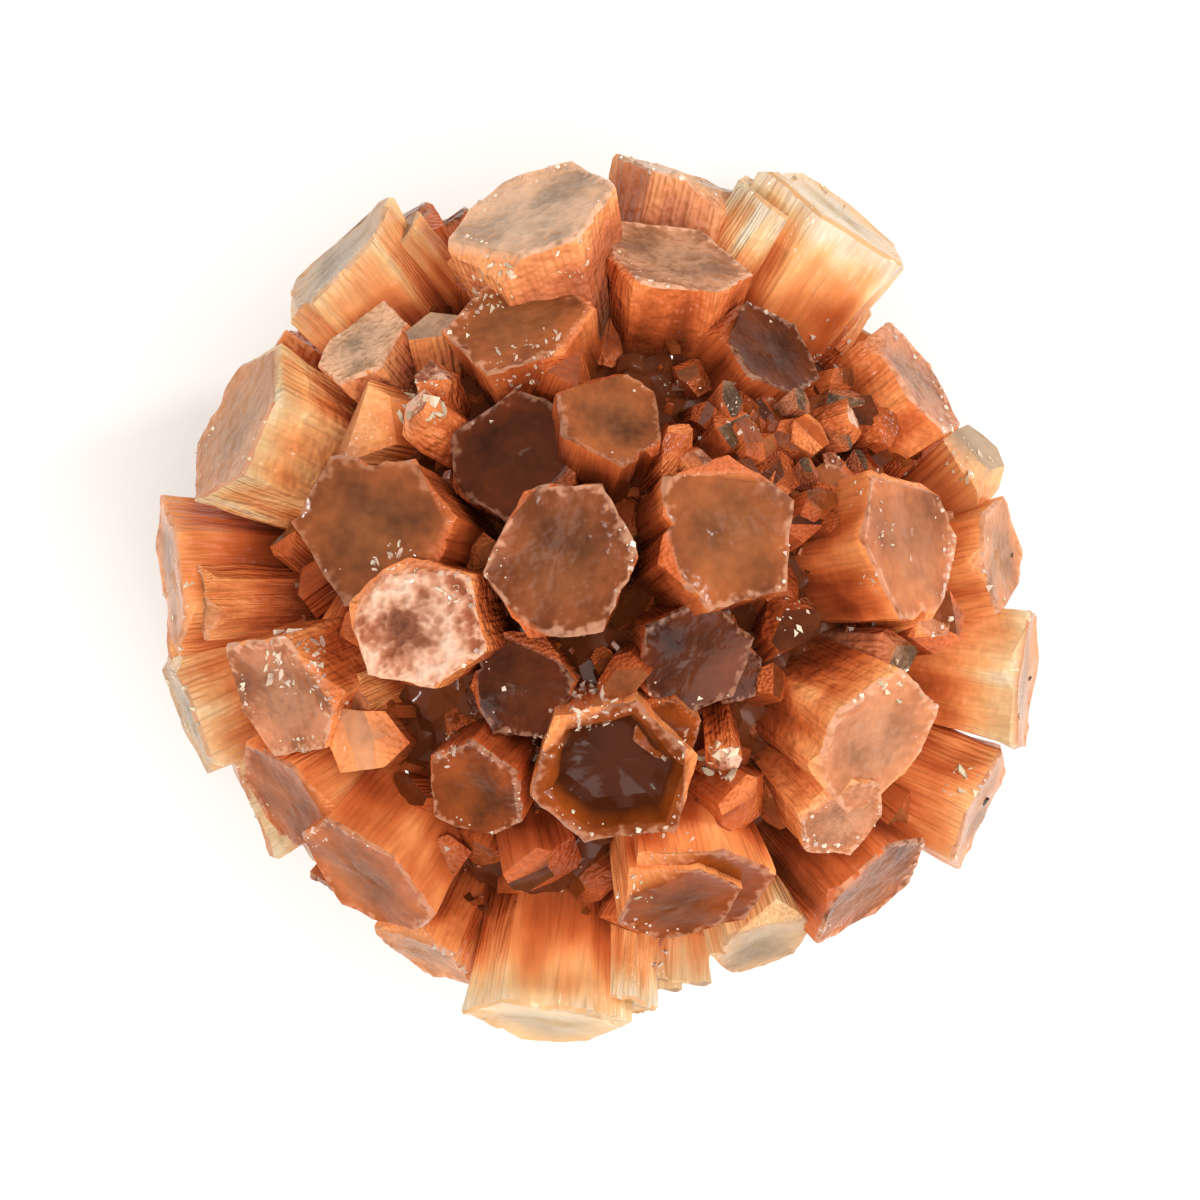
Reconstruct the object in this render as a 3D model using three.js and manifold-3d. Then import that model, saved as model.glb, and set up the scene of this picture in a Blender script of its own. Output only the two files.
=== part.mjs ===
// Aragonite "sputnik" cluster: a ball of stubby six-sided prisms that grew outwards from one
// centre. Each prism is a pseudo-hexagonal twin with a flat end, a little narrower at its root.
// Shorter twins lean on their sides, small prisms fill the gaps, and below about two thirds of
// the radius everything is one intergrown mass. It is one stone, so it is one solid.
//
// Millimetres, +Z up. The origin is the middle of the flat spot that the ball rests on.

import * as THREE from "three";
import { mergeVertices } from "three/addons/utils/BufferGeometryUtils.js";
import Module from "manifold-3d";

const wasm = await Module();
wasm.setup();

// The ball
const CENTRE_HEIGHT = 18.7; // centre of growth above the surface that the ball rests on
const MASS_RADIUS = 14.2; // the intergrown mass that the prisms stand out of
const MASS_RELIEF = 0.7; // how far the mass rises and falls
const MASS_LUMPS = new THREE.Vector3(7, 6, 8); // how closely its lumps follow each other
const FULLER_SIDE = 140; // plan direction, in degrees from +X, that the ball is fuller towards
const FULLNESS = 0.9; // how much longer its lower prisms are there, and shorter across from it

// A prism
const SIDES = 6;
const PRISM_LENGTH = 10; // most of it is inside the mass
const TAPER_PER_MM = 0.03; // how much narrower it gets for each millimetre towards its root
const CENTRE_SPREAD = 1.8; // how far from the centre of growth its axis may pass
const CORNER_REACH = 0.54; // its corners' distance from its axis, as a share of its width
const CORNER_UNEVEN = 0.06; // how much that distance varies from corner to corner
const CORNER_SKEW = 5; // degrees that a corner may stand off its even place
const LARGE = 4; // a prism wider than this has worn edges, and may have grooves and twins
const END_WEAR = 0.28; // the worn edge round a large prism's end

// What some of the large prisms have
const GROOVED_SHARE = 0.5; // one side with the re-entrant groove of a twin
const GROOVE_START = 0.36; // where the groove starts, as a share of the side
const GROOVE_DEPTH = 0.14; // how deep it is, as a share of the side's distance from the axis
const TWINNED_SHARE = 0.5; // a shorter twin that leans on one side
const TWIN = { least: 0.42, spread: 0.16, aside: 0.4, drop: 0.7, dropSpread: 1.5, shorter: 2 };
const HOLLOW = { share: 0.72, depth: 0.9 }; // the pit in a hollow end
const LEDGE = { share: 0.78, rise: 0.45, aside: 0.17 }; // the second level of a stepped end
const CHIP = { size: 0.3, aside: 0.58, tilt: 0.5, above: 0.2 }; // the bite out of a chipped end

const FINEST_DETAIL = 0.02; // slivers under this size are merged into their neighbours

// The prisms that show from above. `at` is the middle of the end in plan, measured from the
// centre of growth, and `reach` is its distance from that centre. `wide` and `deep` are the
// prism's widths round the ball and towards its top. `corner` is the plan direction, in degrees
// from +X, that one of its corners points in.
const UPPER_PRISMS = [
  { at: [-1.9, 1.9], reach: 19.7, wide: 6.9, deep: 6.7, corner: 4 },
  { at: [5.5, 2.9], reach: 19.5, wide: 6.4, deep: 6.5, corner: 23 },
  { at: [-8.0, -1.1], reach: 20.2, wide: 5.8, deep: 6.9, corner: 42, end: "chipped" },
  { at: [-9.9, 3.3], reach: 18.7, wide: 6.4, deep: 8.4, corner: 0, end: "stepped" },
  { at: [-3.8, 6.4], reach: 16.9, wide: 6.2, deep: 5.6, corner: 30 },
  { at: [0.7, 8.0], reach: 18.7, wide: 5.0, deep: 4.9, corner: 35 },
  { at: [4.1, -2.6], reach: 17.6, wide: 5.6, deep: 4.8, corner: 20 },
  { at: [0.6, -7.6], reach: 18.9, wide: 7.1, deep: 6.4, corner: 15, end: "hollow" },
  { at: [-5.7, -8.4], reach: 17.9, wide: 4.6, deep: 5.0, corner: 30 },
  { at: [-3.6, -3.8], reach: 16.9, wide: 4.8, deep: 4.6, corner: 5 },
  { at: [4.4, -13.0], reach: 18.9, wide: 6.9, deep: 5.8, corner: 20, end: "stepped" },
  { at: [-2.2, -18.8], reach: 20.3, wide: 7.2, deep: 5.4, corner: 0 },
  { at: [11.4, -7.2], reach: 19.3, wide: 7.6, deep: 6.2, corner: 20, end: "stepped" },
  { at: [13.8, 2.3], reach: 19.3, wide: 7.0, deep: 5.8, corner: 5 },
  { at: [19.1, -3.6], reach: 20.2, wide: 6.6, deep: 5.2, corner: -10 },
  { at: [17.1, -9.2], reach: 19.9, wide: 5.9, deep: 5.2, corner: 35 },
  { at: [11.9, -13.0], reach: 19.1, wide: 6.6, deep: 5.2, corner: 40 },
  { at: [7.2, -15.4], reach: 18.4, wide: 4.8, deep: 3.8, corner: 25 },
  { at: [14.2, 9.8], reach: 18.9, wide: 6.0, deep: 5.2, corner: 35 },
  { at: [17.1, 6.3], reach: 18.9, wide: 3.8, deep: 3.8, corner: 20 },
  { at: [17.9, 1.9], reach: 19.1, wide: 5.2, deep: 4.6, corner: 10, end: "stepped" },
  { at: [10.8, 17.3], reach: 20.9, wide: 8.0, deep: 6.4, corner: 55 },
  { at: [3.3, 15.2], reach: 18.7, wide: 6.6, deep: 5.8, corner: 0 },
  { at: [3.7, 19.0], reach: 19.9, wide: 5.8, deep: 5.2, corner: 0 },
  { at: [-3.3, 17.6], reach: 20.4, wide: 7.8, deep: 7.0, corner: 10, end: "chipped" },
  { at: [-11.9, 15.2], reach: 20.1, wide: 6.8, deep: 4.9, corner: 40 },
  { at: [-10.6, 11.4], reach: 18.2, wide: 4.6, deep: 4.4, corner: 15 },
  { at: [-16.1, 8.0], reach: 20.1, wide: 7.5, deep: 6.2, corner: 60 },
  { at: [-19.2, 1.1], reach: 20.0, wide: 6.5, deep: 5.2, corner: 30 },
  { at: [-18.4, -5.3], reach: 19.6, wide: 5.8, deep: 4.8, corner: 20 },
  { at: [-14.1, -4.3], reach: 19.2, wide: 5.9, deep: 5.8, corner: 10, end: "chipped" },
  { at: [-13.9, -8.9], reach: 18.8, wide: 5.6, deep: 5.2, corner: 0 },
  { at: [-10.6, -12.3], reach: 19.2, wide: 6.8, deep: 5.4, corner: 45 },
  { at: [-7.9, -15.9], reach: 18.6, wide: 4.4, deep: 3.8, corner: 30 },
  { at: [7.6, 11.1], reach: 17.3, wide: 5.2, deep: 4.6, corner: 45 },
  { at: [-3.5, 12.3], reach: 18.2, wide: 6.2, deep: 4.9, corner: 5, end: "stepped" },
];

// Small prisms that show in the gaps from above, given in the same way.
const UPPER_CHIPS = [
  { at: [3.4, 6.9], reach: 18.2, wide: 1.5, deep: 2.7, corner: 0 },
  { at: [-8.3, 8.2], reach: 18.0, wide: 2.2, deep: 2.4, corner: 20 },
  { at: [-7.2, 9.9], reach: 17.7, wide: 1.9, deep: 2.0, corner: 50 },
  { at: [-7.4, 12.4], reach: 17.7, wide: 2.6, deep: 2.8, corner: 5 },
  { at: [6.0, 7.6], reach: 17.5, wide: 2.6, deep: 2.2, corner: 10 },
  { at: [9.4, 7.4], reach: 17.6, wide: 2.8, deep: 2.0, corner: 30 },
  { at: [7.8, 5.6], reach: 17.3, wide: 2.4, deep: 2.2, corner: 45 },
  { at: [11.3, 8.1], reach: 17.5, wide: 2.5, deep: 2.6, corner: 0 },
  { at: [10.4, 5.3], reach: 17.4, wide: 2.6, deep: 2.4, corner: 25 },
  { at: [8.4, -0.9], reach: 17.4, wide: 2.6, deep: 2.8, corner: 15 },
  { at: [-1.3, 10.3], reach: 17.4, wide: 3.0, deep: 2.0, corner: 40 },
  { at: [-7.3, -11.6], reach: 17.3, wide: 2.8, deep: 2.6, corner: 10 },
  { at: [-2.6, -12.2], reach: 17.2, wide: 3.4, deep: 3.0, corner: 35 },
  { at: [5.4, -7.2], reach: 17.9, wide: 1.7, deep: 1.9, corner: 20 },
  { at: [13.3, -10.0], reach: 17.9, wide: 2.8, deep: 2.8, corner: 50 },
  { at: [13.2, -2.4], reach: 18.4, wide: 2.4, deep: 2.2, corner: 5 },
  { at: [-5.9, 15.6], reach: 18.0, wide: 2.2, deep: 2.4, corner: 30 },
];

// Rings of prisms round the rest of the ball. `lift` is their slope above the level of the
// centre, and `first` the plan direction of the first one, both in degrees.
const LOWER_RINGS = [
  { lift: -7, count: 16, first: 8, reach: 17.9, wide: 6.5 },
  { lift: -29, count: 14, first: 15, reach: 18.7, wide: 6.8 },
  { lift: -49.5, count: 10, first: 14, reach: 19.1, wide: 6.9 },
  { lift: -69, count: 5, first: 30, reach: 19.6, wide: 7.0 },
];
// How far a ring's prism may stand off its even place and the ring's measures.
const RING_SPREAD = { plan: 5, lift: 3, width: 0.12, reach: 0.7, stepped: 0.3, flatness: 0.9 };
const FOOT_PRISM = { reach: 19.4, wide: 7.4, deep: 7.0, corner: 12 }; // it points straight down

// Small prisms spread evenly over the whole ball. Most end up inside larger ones.
const GAP_PRISMS = { count: 80, reach: 15.5, reachSpread: 1.5, wide: 1.9, wideSpread: 1.3 };
const GOLDEN_ANGLE = Math.PI * (3 - Math.sqrt(5));

const TURN = 2 * Math.PI;
const radians = THREE.MathUtils.degToRad;

// A number from 0 to 1 that depends only on which prism it is for and on what it is used for.
function chance(prism, use) {
  const mark = [...use].reduce((sum, letter) => 1.7 * sum + letter.charCodeAt(0), 0);
  const wave = Math.sin(12.9898 * prism + 78.233 * mark) * 43758.5453;
  return wave - Math.floor(wave);
}

// The same, from -1 to 1.
const swing = (prism, use) => 2 * chance(prism, use) - 1;

// A unit vector from the plan direction and the slope above the level of the centre.
function direction(plan, lift = 0) {
  const level = Math.cos(lift);
  return new THREE.Vector3(level * Math.cos(plan), level * Math.sin(plan), Math.sin(lift));
}

// The section of a prism's end, with no two sides quite alike.
function sectionOf(index, wide, deep, turn) {
  const corners = [];
  for (let k = 0; k < SIDES; k++) {
    const angle = turn + (k * TURN) / SIDES + radians(CORNER_SKEW) * swing(index, `skew ${k}`);
    const reach = CORNER_REACH * (1 + CORNER_UNEVEN * swing(index, `reach ${k}`));
    corners.push(new THREE.Vector2(wide * reach * Math.cos(angle), deep * reach * Math.sin(angle)));
  }
  if (wide < LARGE || chance(index, "grooved") > GROOVED_SHARE) return corners;
  const side = Math.floor(SIDES * chance(index, "side"));
  const from = corners[side];
  const to = corners[(side + 1) % SIDES];
  const bottom = from.clone().lerp(to, 0.5).multiplyScalar(1 - GROOVE_DEPTH);
  const groove = [from.clone().lerp(to, GROOVE_START), bottom, to.clone().lerp(from, GROOVE_START)];
  corners.splice(side + 1, 0, ...groove);
  return corners;
}

// A closed three.js geometry as a solid.
function solidOf(geometry) {
  const bare = geometry.clone();
  bare.deleteAttribute("normal");
  bare.deleteAttribute("uv");
  const merged = mergeVertices(bare, 1e-4);
  return new wasm.Manifold(
    new wasm.Mesh({
      numProp: 3,
      vertProperties: merged.getAttribute("position").array,
      triVerts: new Uint32Array(merged.index.array),
    }),
  );
}

// A tapered prism that stands on its axis, with its end at z = 0 and its root below. It is an
// extrusion in steps, and on a worn prism the last step is drawn in to make the worn edge.
function standingPrism(outline, length, worn) {
  const heights = worn ? [-length, -END_WEAR, 0] : [-length, 0];
  const steps = heights.length - 1;
  const shape = new THREE.Shape(outline);
  const geometry = new THREE.ExtrudeGeometry(shape, { depth: steps, steps, bevelEnabled: false });
  const position = geometry.getAttribute("position");
  for (let i = 0; i < position.count; i++) {
    const step = Math.round(position.getZ(i));
    const drawnIn = worn && step === steps ? END_WEAR / outline[0].length() : 0;
    const width = 1 + TAPER_PER_MM * heights[step] - drawnIn;
    position.setXYZ(i, position.getX(i) * width, position.getY(i) * width, heights[step]);
  }
  return geometry;
}

// Turns and moves a prism so that its end is at `end` and its axis passes near the centre.
// Its width lies level, round the ball.
function placement(index, end) {
  const aim = new THREE.Vector3(swing(index, "aim x"), swing(index, "aim y"), swing(index, "aim z"));
  const axis = end.clone().addScaledVector(aim, -CENTRE_SPREAD).normalize();
  const level = new THREE.Vector3(-end.y, end.x, 0);
  if (level.length() === 0) level.set(0, 1, 0);
  const across = level.addScaledVector(axis, -level.dot(axis)).normalize();
  const upward = axis.clone().cross(across);
  return new THREE.Matrix4().makeBasis(across, upward, axis).setPosition(end);
}

// The solids of one prism: its body, with what its kind of end adds or takes, and its twin.
function prismSolids(index, end, { wide, deep, corner, end: kind }) {
  const large = wide > LARGE;
  const plan = Math.atan2(end.y, end.x);
  const outline = sectionOf(index, wide, deep, radians(corner) - plan - TURN / 4);
  const scaled = (share) => outline.map((point) => point.clone().multiplyScalar(share));
  const aside = (use, share) => direction(TURN * chance(index, use)).multiplyScalar(share * wide);
  let body = solidOf(standingPrism(outline, PRISM_LENGTH, large));

  if (kind === "hollow") {
    const pit = standingPrism(scaled(HOLLOW.share), 3 * HOLLOW.depth, true);
    body = body.subtract(solidOf(pit.rotateX(Math.PI).translate(0, 0, -HOLLOW.depth)));
  }
  if (kind === "stepped") {
    const ledge = standingPrism(scaled(LEDGE.share), PRISM_LENGTH / 2, true);
    const { x, y } = aside("ledge", LEDGE.aside);
    body = body.add(solidOf(ledge.translate(x, y, LEDGE.rise)));
  }
  if (kind === "chipped") {
    const bite = new THREE.OctahedronGeometry(CHIP.size * wide, 0);
    const { x, y } = aside("chip", CHIP.aside);
    body = body.subtract(solidOf(bite.rotateX(CHIP.tilt).translate(x, y, CHIP.above)));
  }
  const solids = [body];

  if (large && chance(index, "twinned") < TWINNED_SHARE) {
    const share = TWIN.least + TWIN.spread * chance(index, "twin size");
    const drop = TWIN.drop + TWIN.dropSpread * chance(index, "twin drop");
    const twin = standingPrism(scaled(share), PRISM_LENGTH - TWIN.shorter, true);
    const { x, y } = aside("twin", TWIN.aside);
    solids.push(solidOf(twin.translate(x, y, -drop)));
  }
  const place = placement(index, end).elements;
  return solids.map((solid) => solid.transform(place));
}

// The lumpy mass in the middle, where the prisms have grown into each other.
function massSolid() {
  const geometry = new THREE.IcosahedronGeometry(1, 3);
  const position = geometry.getAttribute("position");
  const point = new THREE.Vector3();
  for (let i = 0; i < position.count; i++) {
    point.fromBufferAttribute(position, i).normalize();
    const phase = point.clone().multiply(MASS_LUMPS);
    const lump = Math.sin(phase.x) * Math.sin(phase.y) * Math.sin(phase.z);
    point.multiplyScalar(MASS_RADIUS + MASS_RELIEF * lump);
    position.setXYZ(i, point.x, point.y, point.z);
  }
  return solidOf(geometry);
}

// A prism of the upper part as { end, form }, where `end` is measured from the centre.
function upperPrism(form) {
  const [x, y] = form.at;
  return { end: new THREE.Vector3(x, y, Math.sqrt(form.reach ** 2 - x * x - y * y)), form };
}

// The prism numbered `index`, which is the k-th of a ring.
function ringPrism(index, k, { lift, count, first, reach, wide }) {
  const plan = first + (360 * k) / count + RING_SPREAD.plan * swing(index, "plan");
  const slope = lift + RING_SPREAD.lift * swing(index, "lift");
  const lean = FULLNESS * Math.cos(radians(plan - FULLER_SIDE));
  const ownReach = reach + lean + RING_SPREAD.reach * swing(index, "reach");
  const form = {
    wide: wide * (1 + RING_SPREAD.width * swing(index, "wide")),
    deep: wide * (RING_SPREAD.flatness + RING_SPREAD.width * swing(index, "deep")),
    corner: 360 * chance(index, "corner"),
    end: chance(index, "end") < RING_SPREAD.stepped ? "stepped" : "flat",
  };
  return { end: direction(radians(plan), radians(slope)).multiplyScalar(ownReach), form };
}

// The prism numbered `index`, which is the k-th of the small ones spread over the ball.
function gapPrism(index, k) {
  const { count, reach, reachSpread, wide, wideSpread } = GAP_PRISMS;
  const slope = Math.asin(1 - (2 * k + 1) / count);
  const ownReach = reach + reachSpread * chance(index, "reach");
  const width = wide + wideSpread * chance(index, "wide");
  const form = { wide: width, deep: width, corner: 360 * chance(index, "corner") };
  return { end: direction(k * GOLDEN_ANGLE, slope).multiplyScalar(ownReach), form };
}

// Every prism as { end, form }, from the top of the ball to its foot, and then the small ones.
function allPrisms() {
  const prisms = [...UPPER_PRISMS, ...UPPER_CHIPS].map(upperPrism);
  for (const ring of LOWER_RINGS) {
    for (let k = 0; k < ring.count; k++) prisms.push(ringPrism(prisms.length, k, ring));
  }
  prisms.push({ end: new THREE.Vector3(0, 0, -FOOT_PRISM.reach), form: FOOT_PRISM });
  for (let k = 0; k < GAP_PRISMS.count; k++) prisms.push(gapPrism(prisms.length, k));
  return prisms;
}

// What lies below the surface that the ball rests on, as a slab to cut away.
function belowTheFoot() {
  const size = 4 * CENTRE_HEIGHT;
  const slab = new THREE.BoxGeometry(size, size, size);
  return solidOf(slab.translate(0, 0, -CENTRE_HEIGHT - size / 2));
}

function clusterGeometry() {
  const prisms = allPrisms().flatMap(({ end, form }, index) => prismSolids(index, end, form));
  const grown = wasm.Manifold.union([massSolid(), ...prisms]).subtract(belowTheFoot());
  const { vertProperties, triVerts } = grown.asOriginal().simplify(FINEST_DETAIL).getMesh();
  const geometry = new THREE.BufferGeometry();
  geometry.setAttribute("position", new THREE.BufferAttribute(vertProperties, 3));
  geometry.setIndex(new THREE.BufferAttribute(triVerts, 1));
  geometry.computeVertexNormals();
  return geometry;
}

const aragonite = new THREE.MeshStandardMaterial({
  color: 0xb4633c,
  roughness: 0.4,
  metalness: 0,
  flatShading: true,
});

const cluster = new THREE.Mesh(clusterGeometry(), aragonite);
cluster.name = "crystal_cluster";
cluster.position.z = CENTRE_HEIGHT;

const part = new THREE.Group();
part.add(cluster);

export default part;
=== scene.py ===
"""Looks of an aragonite ball: six-sided prisms that radiate from one centre of growth.

The ball is one grown stone. Its prisms are copies of a few cut master crystals, set round the
centre of growth, united into one closed mesh and dressed with one aragonite finish that knows
Small druse grains sit in the gaps and along the crusted rims, and the palest are partly painted
glints.

The ball is modelled in millimetres about its centre of growth. Once it is whole it is brought
to metres, above the flat spot that it rests on, and the grains are set on it there. So each
piece's object stays at the origin.
"""

import logging  # noqa: E402
import math  # noqa: E402
from collections.abc import Callable  # noqa: E402
from dataclasses import dataclass, field  # noqa: E402
from enum import Enum  # noqa: E402

import bmesh  # noqa: E402
import bpy  # noqa: E402
import numpy as np  # noqa: E402
from mathutils import Matrix, Vector  # noqa: E402


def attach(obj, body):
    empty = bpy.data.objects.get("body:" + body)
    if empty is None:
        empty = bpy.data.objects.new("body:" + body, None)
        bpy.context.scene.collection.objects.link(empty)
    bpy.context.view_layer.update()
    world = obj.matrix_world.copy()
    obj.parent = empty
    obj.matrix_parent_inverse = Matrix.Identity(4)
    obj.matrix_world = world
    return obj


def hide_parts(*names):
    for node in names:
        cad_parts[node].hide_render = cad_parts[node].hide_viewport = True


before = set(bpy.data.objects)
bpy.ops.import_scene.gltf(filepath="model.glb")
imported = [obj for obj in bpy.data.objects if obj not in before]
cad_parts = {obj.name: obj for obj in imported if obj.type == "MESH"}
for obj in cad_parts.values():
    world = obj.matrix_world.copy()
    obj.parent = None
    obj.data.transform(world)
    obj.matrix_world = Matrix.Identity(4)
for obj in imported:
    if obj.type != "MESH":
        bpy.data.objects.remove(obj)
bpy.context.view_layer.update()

LOG = logging.getLogger("aragonite")

BODY = "root"
NODE = "crystal_cluster"
METRES_PER_MM = 0.001
TURN = 2 * math.pi
GOLDEN_ANGLE = math.pi * (3 - math.sqrt(5))

# The fraction of a wave this high, at such uneven paces, serves as a draw that repeats itself.
WAVE_PACES = (12.9898, 78.233, 37.719)
WAVE_HEIGHT = 43758.5453

# The centre of growth above the resting spot: its height in millimetres, its place in metres.
CENTRE_HEIGHT = 18.7
CENTRE = (0, 0, CENTRE_HEIGHT * METRES_PER_MM)

Colour = tuple[float, float, float]
Mark = tuple[float, float, float, float]
Socket = bpy.types.NodeSocket


class EndKind(Enum):
    """How a prism's end has grown or broken."""

    FLAT = "flat"
    STEPPED = "stepped"
    HOLLOW = "hollow"
    CHIPPED = "chipped"


@dataclass(frozen=True)
class Look:
    """A crystal's own colour at its end, and how it looks otherwise, from 0 to 1.

    Its side starts light where it is pale, and stays light towards the root where it has a
    painted glow, as of light shining through it.
    """

    end: Colour
    pale: float
    warm: float
    frost: float
    glow: float = 0.0


class Tint(Enum):
    """The looks that the ball's crystals have."""

    MAUVE = Look((0.160, 0.043, 0.012), 0.10, 0.85, 0.25)
    BROWN = Look((0.224, 0.066, 0.020), 0.12, 0.85, 0.20)
    RUSSET = Look((0.160, 0.034, 0.006), 0.08, 0.85, 0.25)
    DUSKY = Look((0.078, 0.016, 0.003), 0.00, 0.85, 0.02)
    RUST = Look((0.300, 0.060, 0.012), 0.25, 1.00, 0.25)
    PINK = Look((0.400, 0.150, 0.064), 0.52, 0.95, 0.40)
    HAZY = Look((0.315, 0.130, 0.056), 0.12, 0.85, 0.45)
    MISTY = Look((0.400, 0.240, 0.140), 0.41, 0.35, 0.55)
    FROSTED = Look((0.300, 0.085, 0.035), 0.30, 0.90, 1.00)
    CREAM = Look((0.490, 0.225, 0.100), 0.90, 0.95, 0.40, 0.30)
    AMBER = Look((0.760, 0.500, 0.230), 0.93, 1.00, 0.25)
    PEACH = Look((0.640, 0.290, 0.130), 0.96, 1.00, 0.30)
    CLEAR = Look((0.460, 0.300, 0.170), 0.73, 0.50, 0.25)
    OLIVE = Look((0.100, 0.046, 0.018), 0.10, 0.35, 0.50)
    HONEY = Look((0.450, 0.190, 0.085), 0.50, 1.00, 0.30)
    EMBER = Look((0.280, 0.078, 0.022), 0.34, 1.00, 0.25, 0.65)
    GLOWING = Look((0.172, 0.036, 0.005), 0.30, 0.95, 0.25, 0.70)
    ROSE = Look((0.322, 0.114, 0.049), 0.35, 1.00, 0.40, 0.45)


def chance(number: int, use: str) -> float:
    """Gives a value that depends only on whose it is and on what it is used for.

    Args:
        number: The number of the crystal or grain that it is for.
        use: What it is used for, in words.

    Returns:
        The value, from 0 to 1.
    """
    mark = 0.0
    for letter in use:
        mark = 1.7 * mark + ord(letter)
    wave = math.sin(WAVE_PACES[0] * number + WAVE_PACES[1] * mark) * WAVE_HEIGHT
    return wave - math.floor(wave)


def swing(number: int, use: str) -> float:
    """The same as chance, from -1 to 1."""
    return 2 * chance(number, use) - 1


def sway(number: int, use: str) -> Vector:
    """A vector of three such swings."""
    return Vector(swing(number, f"{use} {axis}") for axis in "xyz")


@dataclass(frozen=True)
class Span:
    """The range of a measure that differs from crystal to crystal, or from grain to grain."""

    least: float
    spread: float

    def pick(self, number: int, use: str, power: int = 1) -> float:
        """Picks one measure from the range.

        Args:
            number: The number of the crystal or grain.
            use: What the measure is, in words.
            power: 1 for an even spread, or more for mostly small ones.

        Returns:
            The measure.
        """
        return self.least + self.spread * chance(number, use) ** power


def direction(plan: float, lift: float = 0.0) -> Vector:
    """Turns a plan direction and a slope into a unit vector.

    Args:
        plan: The direction seen from above, in radians from +X.
        lift: The slope above the level, in radians.

    Returns:
        The unit vector.
    """
    level = math.cos(lift)
    return Vector((level * math.cos(plan), level * math.sin(plan), math.sin(lift)))


def deselect_all() -> None:
    """Goes to object mode, with nothing selected."""
    if bpy.context.object is not None and bpy.context.object.mode != "OBJECT":
        bpy.ops.object.mode_set(mode="OBJECT")
    bpy.ops.object.select_all(action="DESELECT")


def make_active(piece: bpy.types.Object) -> None:
    """Selects one object alone and makes it the active one.

    Args:
        piece: The object to work on next.
    """
    deselect_all()
    piece.select_set(True)
    bpy.context.view_layer.objects.active = piece


def set_all(owner: object, settings: dict[str, object]) -> None:
    """Sets each named property of an owner."""
    for name, value in settings.items():
        setattr(owner, name, value)


def apply_modifier(piece: bpy.types.Object, kind: str, **settings: object) -> None:
    """Adds a modifier with the given settings and applies it.

    Args:
        piece: The object that gets the modifier.
        kind: The modifier's type, such as "BOOLEAN".
        **settings: The modifier's own properties by name.
    """
    make_active(piece)
    modifier = piece.modifiers.new(kind.lower(), kind)
    set_all(modifier, settings)
    bpy.ops.object.modifier_apply(modifier=modifier.name)


def displace(
    piece: bpy.types.Object, kind: str, pattern: dict[str, float], **settings: object
) -> None:
    """Raises and lowers a piece's surface by a pattern.

    Args:
        piece: The object.
        kind: The pattern's type, such as "CLOUDS".
        pattern: The pattern's own properties by name.
        **settings: The modifier's own properties by name.
    """
    texture = bpy.data.textures.new(kind.lower(), kind)
    set_all(texture, pattern)
    apply_modifier(piece, "DISPLACE", texture=texture, **settings)


def cut_away(piece: bpy.types.Object, spot: Vector, normal: Vector) -> None:
    """Cuts a piece off at a plane and closes the cut.

    Args:
        piece: The object to cut.
        spot: A point on the plane.
        normal: The direction in which the piece is taken away.
    """
    make_active(piece)
    bpy.ops.object.mode_set(mode="EDIT")
    bpy.ops.mesh.select_all(action="SELECT")
    bpy.ops.mesh.bisect(plane_co=spot, plane_no=normal, use_fill=True, clear_outer=True)
    bpy.ops.object.mode_set(mode="OBJECT")


def paint_all(piece: bpy.types.Object, name: str, value: Mark) -> None:
    """Gives every face corner of a piece the same value of an attribute.

    Args:
        piece: The object.
        name: The attribute's name.
        value: The four numbers to write.
    """
    mesh = piece.data
    layer = mesh.attributes.get(name) or mesh.attributes.new(name, "FLOAT_COLOR", "CORNER")
    layer.data.foreach_set("color", np.tile(value, len(mesh.loops)))


def mark_all(piece: bpy.types.Object, place: Mark, crystal: Mark, end: Colour) -> None:
    """Marks a whole piece as one place on one crystal, as mark_places and add_copy do.

    Args:
        piece: The object.
        place: Where on the crystal it is.
        crystal: How pale, warm and frosted the crystal is, and how much painted glow it has.
        end: The crystal's colour at its end.
    """
    marks = {"place": place, "own": (0, 0, 0, 1), "crystal": crystal, "end_colour": (*end, 1)}
    for name, value in marks.items():
        paint_all(piece, name, value)


def to_row_frame(piece: bpy.types.Object) -> None:
    """Brings a piece modelled about the centre of growth to metres above its resting spot.

    Args:
        piece: The finished piece, in millimetres.
    """
    lift = Matrix.Translation((0, 0, CENTRE_HEIGHT))
    piece.data.transform(Matrix.Scale(METRES_PER_MM, 4) @ lift)
    piece.data.update()


def read_all(
    items: bpy.types.bpy_prop_collection, name: str, width: int, kind: type = float
) -> np.ndarray:
    """Reads one property of many items.

    Args:
        items: The items.
        name: The property's name.
        width: How many numbers it holds.
        kind: The type of those numbers.

    Returns:
        A row of numbers for each item.
    """
    values = np.empty(width * len(items), dtype=kind)
    items.foreach_get(name, values)
    return values.reshape(-1, width)


def from_rows(make: Callable[..., object], *rows: tuple) -> tuple:
    """Makes one thing from each row of a table."""
    return tuple(make(*row) for row in rows)


@dataclass(frozen=True)
class Prism:
    """One prism's place and size, in millimetres from the centre of growth."""

    end: Vector
    wide: float
    deep: float
    corner: float
    kind: EndKind = EndKind.FLAT
    tint: Tint = Tint.MAUVE

    @staticmethod
    def above(
        x: float,
        y: float,
        reach: float,
        wide: float,
        deep: float,
        corner: float,
        tint: Tint,
        kind: EndKind = EndKind.FLAT,
    ) -> "Prism":
        """Places a prism of the upper part by its end's place in plan.

        Args:
            x: The end's place to the right of the centre.
            y: The end's place towards the back.
            reach: The end's distance from the centre.
            wide: The width round the ball.
            deep: The width towards the ball's top.
            corner: The plan direction that one corner points in, in degrees.
            tint: The crystal's own look.
            kind: How the end has grown.

        Returns:
            The prism.
        """
        end = Vector((x, y, math.sqrt(reach * reach - x * x - y * y)))
        return Prism(end, wide, deep, corner, kind, tint)


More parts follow.
